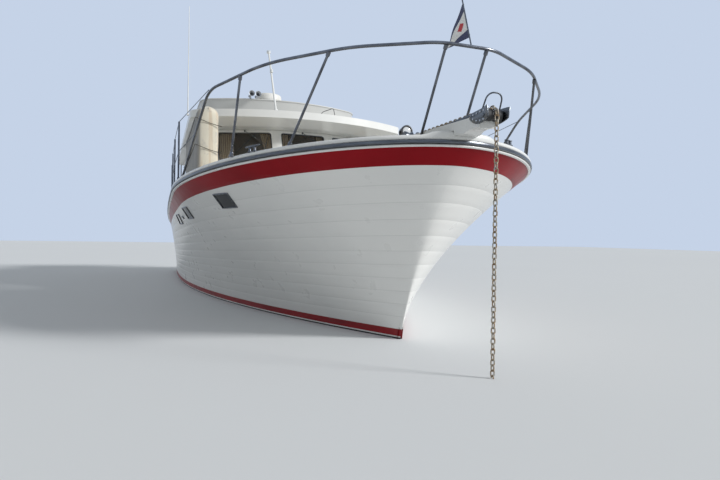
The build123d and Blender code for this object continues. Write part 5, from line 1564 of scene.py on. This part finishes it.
# A cord round the seat's top edge and the back's fore edge
def buildPiping():
    piping = Shape()
    low, high = cushions["seat_cushion"]
    seat = [(x, y, high[2] - 0.010) for x, y in roundedBox(low[:2], high[:2], 0.03)]
    low, high = cushions["back_cushion"]
    back = [(high[0] - 0.010, y, z) for y, z in roundedBox(low[1:], high[1:], 0.03)]
    for ring in (seat, back):
        piping.tube(ring, 0.005, 8, loop=True)
    piping.place("cushionPiping", "trim", "vinyl")


# The pad puffed out by a cloth run with pressure inside
def swollen(start):
    soft = newObject("softPad", finishedMesh(start))
    cloth = soft.modifiers.new("swell", "CLOTH")
    cloth.settings.use_pressure = True
    cloth.settings.uniform_pressure_force = 3.0
    cloth.settings.effector_weights.gravity = 0
    cloth.settings.quality = 6
    for number in range(1, 15):
        scene.frame_set(number)
    return soft


helm = {
    "aft": -0.641, "dials": [(-0.62, 3.50), (-0.45, 3.505), (-0.28, 3.50)], "radius": 0.042,
    # distance along the axis, radius past the dial's own
    "rim": [(0, 0.007), (0.010, 0.006), (0.012, 0), (0.006, -0.001)],
    "levers": (-0.05, 0.01),
    "knob": [(-0.006, 0.001), (0, 0.014), (0.014, 0.016), (0.026, 0.010), (0.030, 0.001)],
}


def buildHelmGear():
    faces, rims = Shape(), Shape()
    radius = helm["radius"]
    for y, z in helm["dials"]:
        rows = [(reach, radius + more) for reach, more in helm["rim"]]
        rims.turned((helm["aft"], y, z), (-1, 0, 0), rows, 28)
        faces.turned((helm["aft"], y, z), (-1, 0, 0), [(0, radius), (0.007, radius), (0.0075, 0.001)], 28)
    for y in helm["levers"]:
        rims.tube([(-0.60, y, 3.598), (-0.60, y, 3.66), (-0.615, y, 3.70)], 0.006, 8)
        rims.turned((-0.617, y, 3.70), up, helm["knob"], 14)
    faces.place("helmDials", "dial", "black_case")
    rims.place("helmRims", "steel", "stainless")


buildTenderCover()
buildLashings()
buildPennant()
buildCushions()
buildPiping()
buildHelmGear()
print("yacht: soft goods and gear placed")


# Light, floor and camera

studio = {
    "haze": (0.56, 0.65, 0.80), "sky": (0.90, 0.95, 1.0), "skyStrength": 0.43,
    "floor": (0.70, 0.715, 0.72), "floorHalf": 60.0, "floorShade": 0.985,
    "sunFrom": (0.56, 0.74, 0.46), "sunStrength": 2.9, "sunAngle": 12.0,
}


def buildFloor():
    half, colour = studio["floorHalf"], studio["floor"]
    mesh = bpy.data.meshes.new("studioFloor")
    corners = [(-half, -half, 0), (half, -half, 0), (half, half, 0), (-half, half, 0)]
    mesh.from_pydata(corners, [], [(0, 1, 2, 3)])
    floor = newObject("studioFloor", mesh)
    paint, tree, shader = startFinish("studioFloor", Roughness=0.9)
    patches = cloud(tree, objectPlace(tree), 0.12, 0.3, 0.7)
    shade = rgb(*(part * studio["floorShade"] for part in colour))
    fill(tree, shader, {"Base Color": between(tree, patches, rgb(*colour), shade)})
    mesh.materials.append(paint)


def buildLight():
    world = bpy.data.worlds.new("studio")
    world.use_nodes = True
    scene.world = world
    tree = world.node_tree
    soft = tree.nodes["Background"]
    fill(tree, soft, {"Color": rgb(*studio["sky"]), "Strength": studio["skyStrength"]})
    # what the camera, mirrors and glass see is the haze, and the sky only lights
    pale = addNode(tree, "ShaderNodeBackground", {"Color": rgb(*studio["haze"]), "Strength": 1.0})
    rays = addNode(tree, "ShaderNodeLightPath").outputs
    seen = sums(tree, "MAXIMUM", rays["Is Camera Ray"],
                sums(tree, "MAXIMUM", rays["Is Glossy Ray"], rays["Is Transmission Ray"]))
    mix = addNode(tree, "ShaderNodeMixShader", {0: seen, 1: soft.outputs[0], 2: pale.outputs[0]})
    fill(tree, tree.nodes["World Output"], {"Surface": mix.outputs[0]})
    lamp = bpy.data.lights.new("softSun", "SUN")
    lamp.energy, lamp.angle = studio["sunStrength"], math.radians(studio["sunAngle"])
    sun = newObject("softSun", lamp)
    sun.rotation_euler = Vector(studio["sunFrom"]).to_track_quat("Z", "Y").to_euler()


# Angles in radians; the focal length and the drop of the middle are in pixels of a view that is 720 wide
viewpoint = {"place": (10.896, -2.413, 1.051), "heading": 0.354, "roll": 0.016, "drop": 3.42,
             "focal": 563.135, "wide": 720, "sensor": 36.0, "farthest": 300}


def buildCamera():
    k = viewpoint
    dip, roll, heading = math.atan(k["drop"] / k["focal"]), k["roll"], k["heading"]
    ahead = Vector((-math.cos(heading), math.sin(heading), 0))
    right = Vector((math.sin(heading), math.cos(heading), 0))
    look = ahead * math.cos(dip) - up * math.sin(dip)
    crown = up * math.cos(dip) + ahead * math.sin(dip)
    across = right * math.cos(roll) + crown * math.sin(roll)
    rise = crown * math.cos(roll) - right * math.sin(roll)
    lens = bpy.data.cameras.new("harbourView")
    lens.sensor_width, lens.clip_end = k["sensor"], k["farthest"]
    lens.lens = k["sensor"] * k["focal"] / k["wide"]
    camera = newObject("harbourView", lens)
    turn = Matrix((across, rise, -look)).transposed().to_4x4()
    camera.matrix_world = Matrix.Translation(k["place"]) @ turn
    scene.camera = camera


buildFloor()
buildLight()
buildCamera()
scene.view_settings.view_transform = "Standard"
print("yacht: finished")
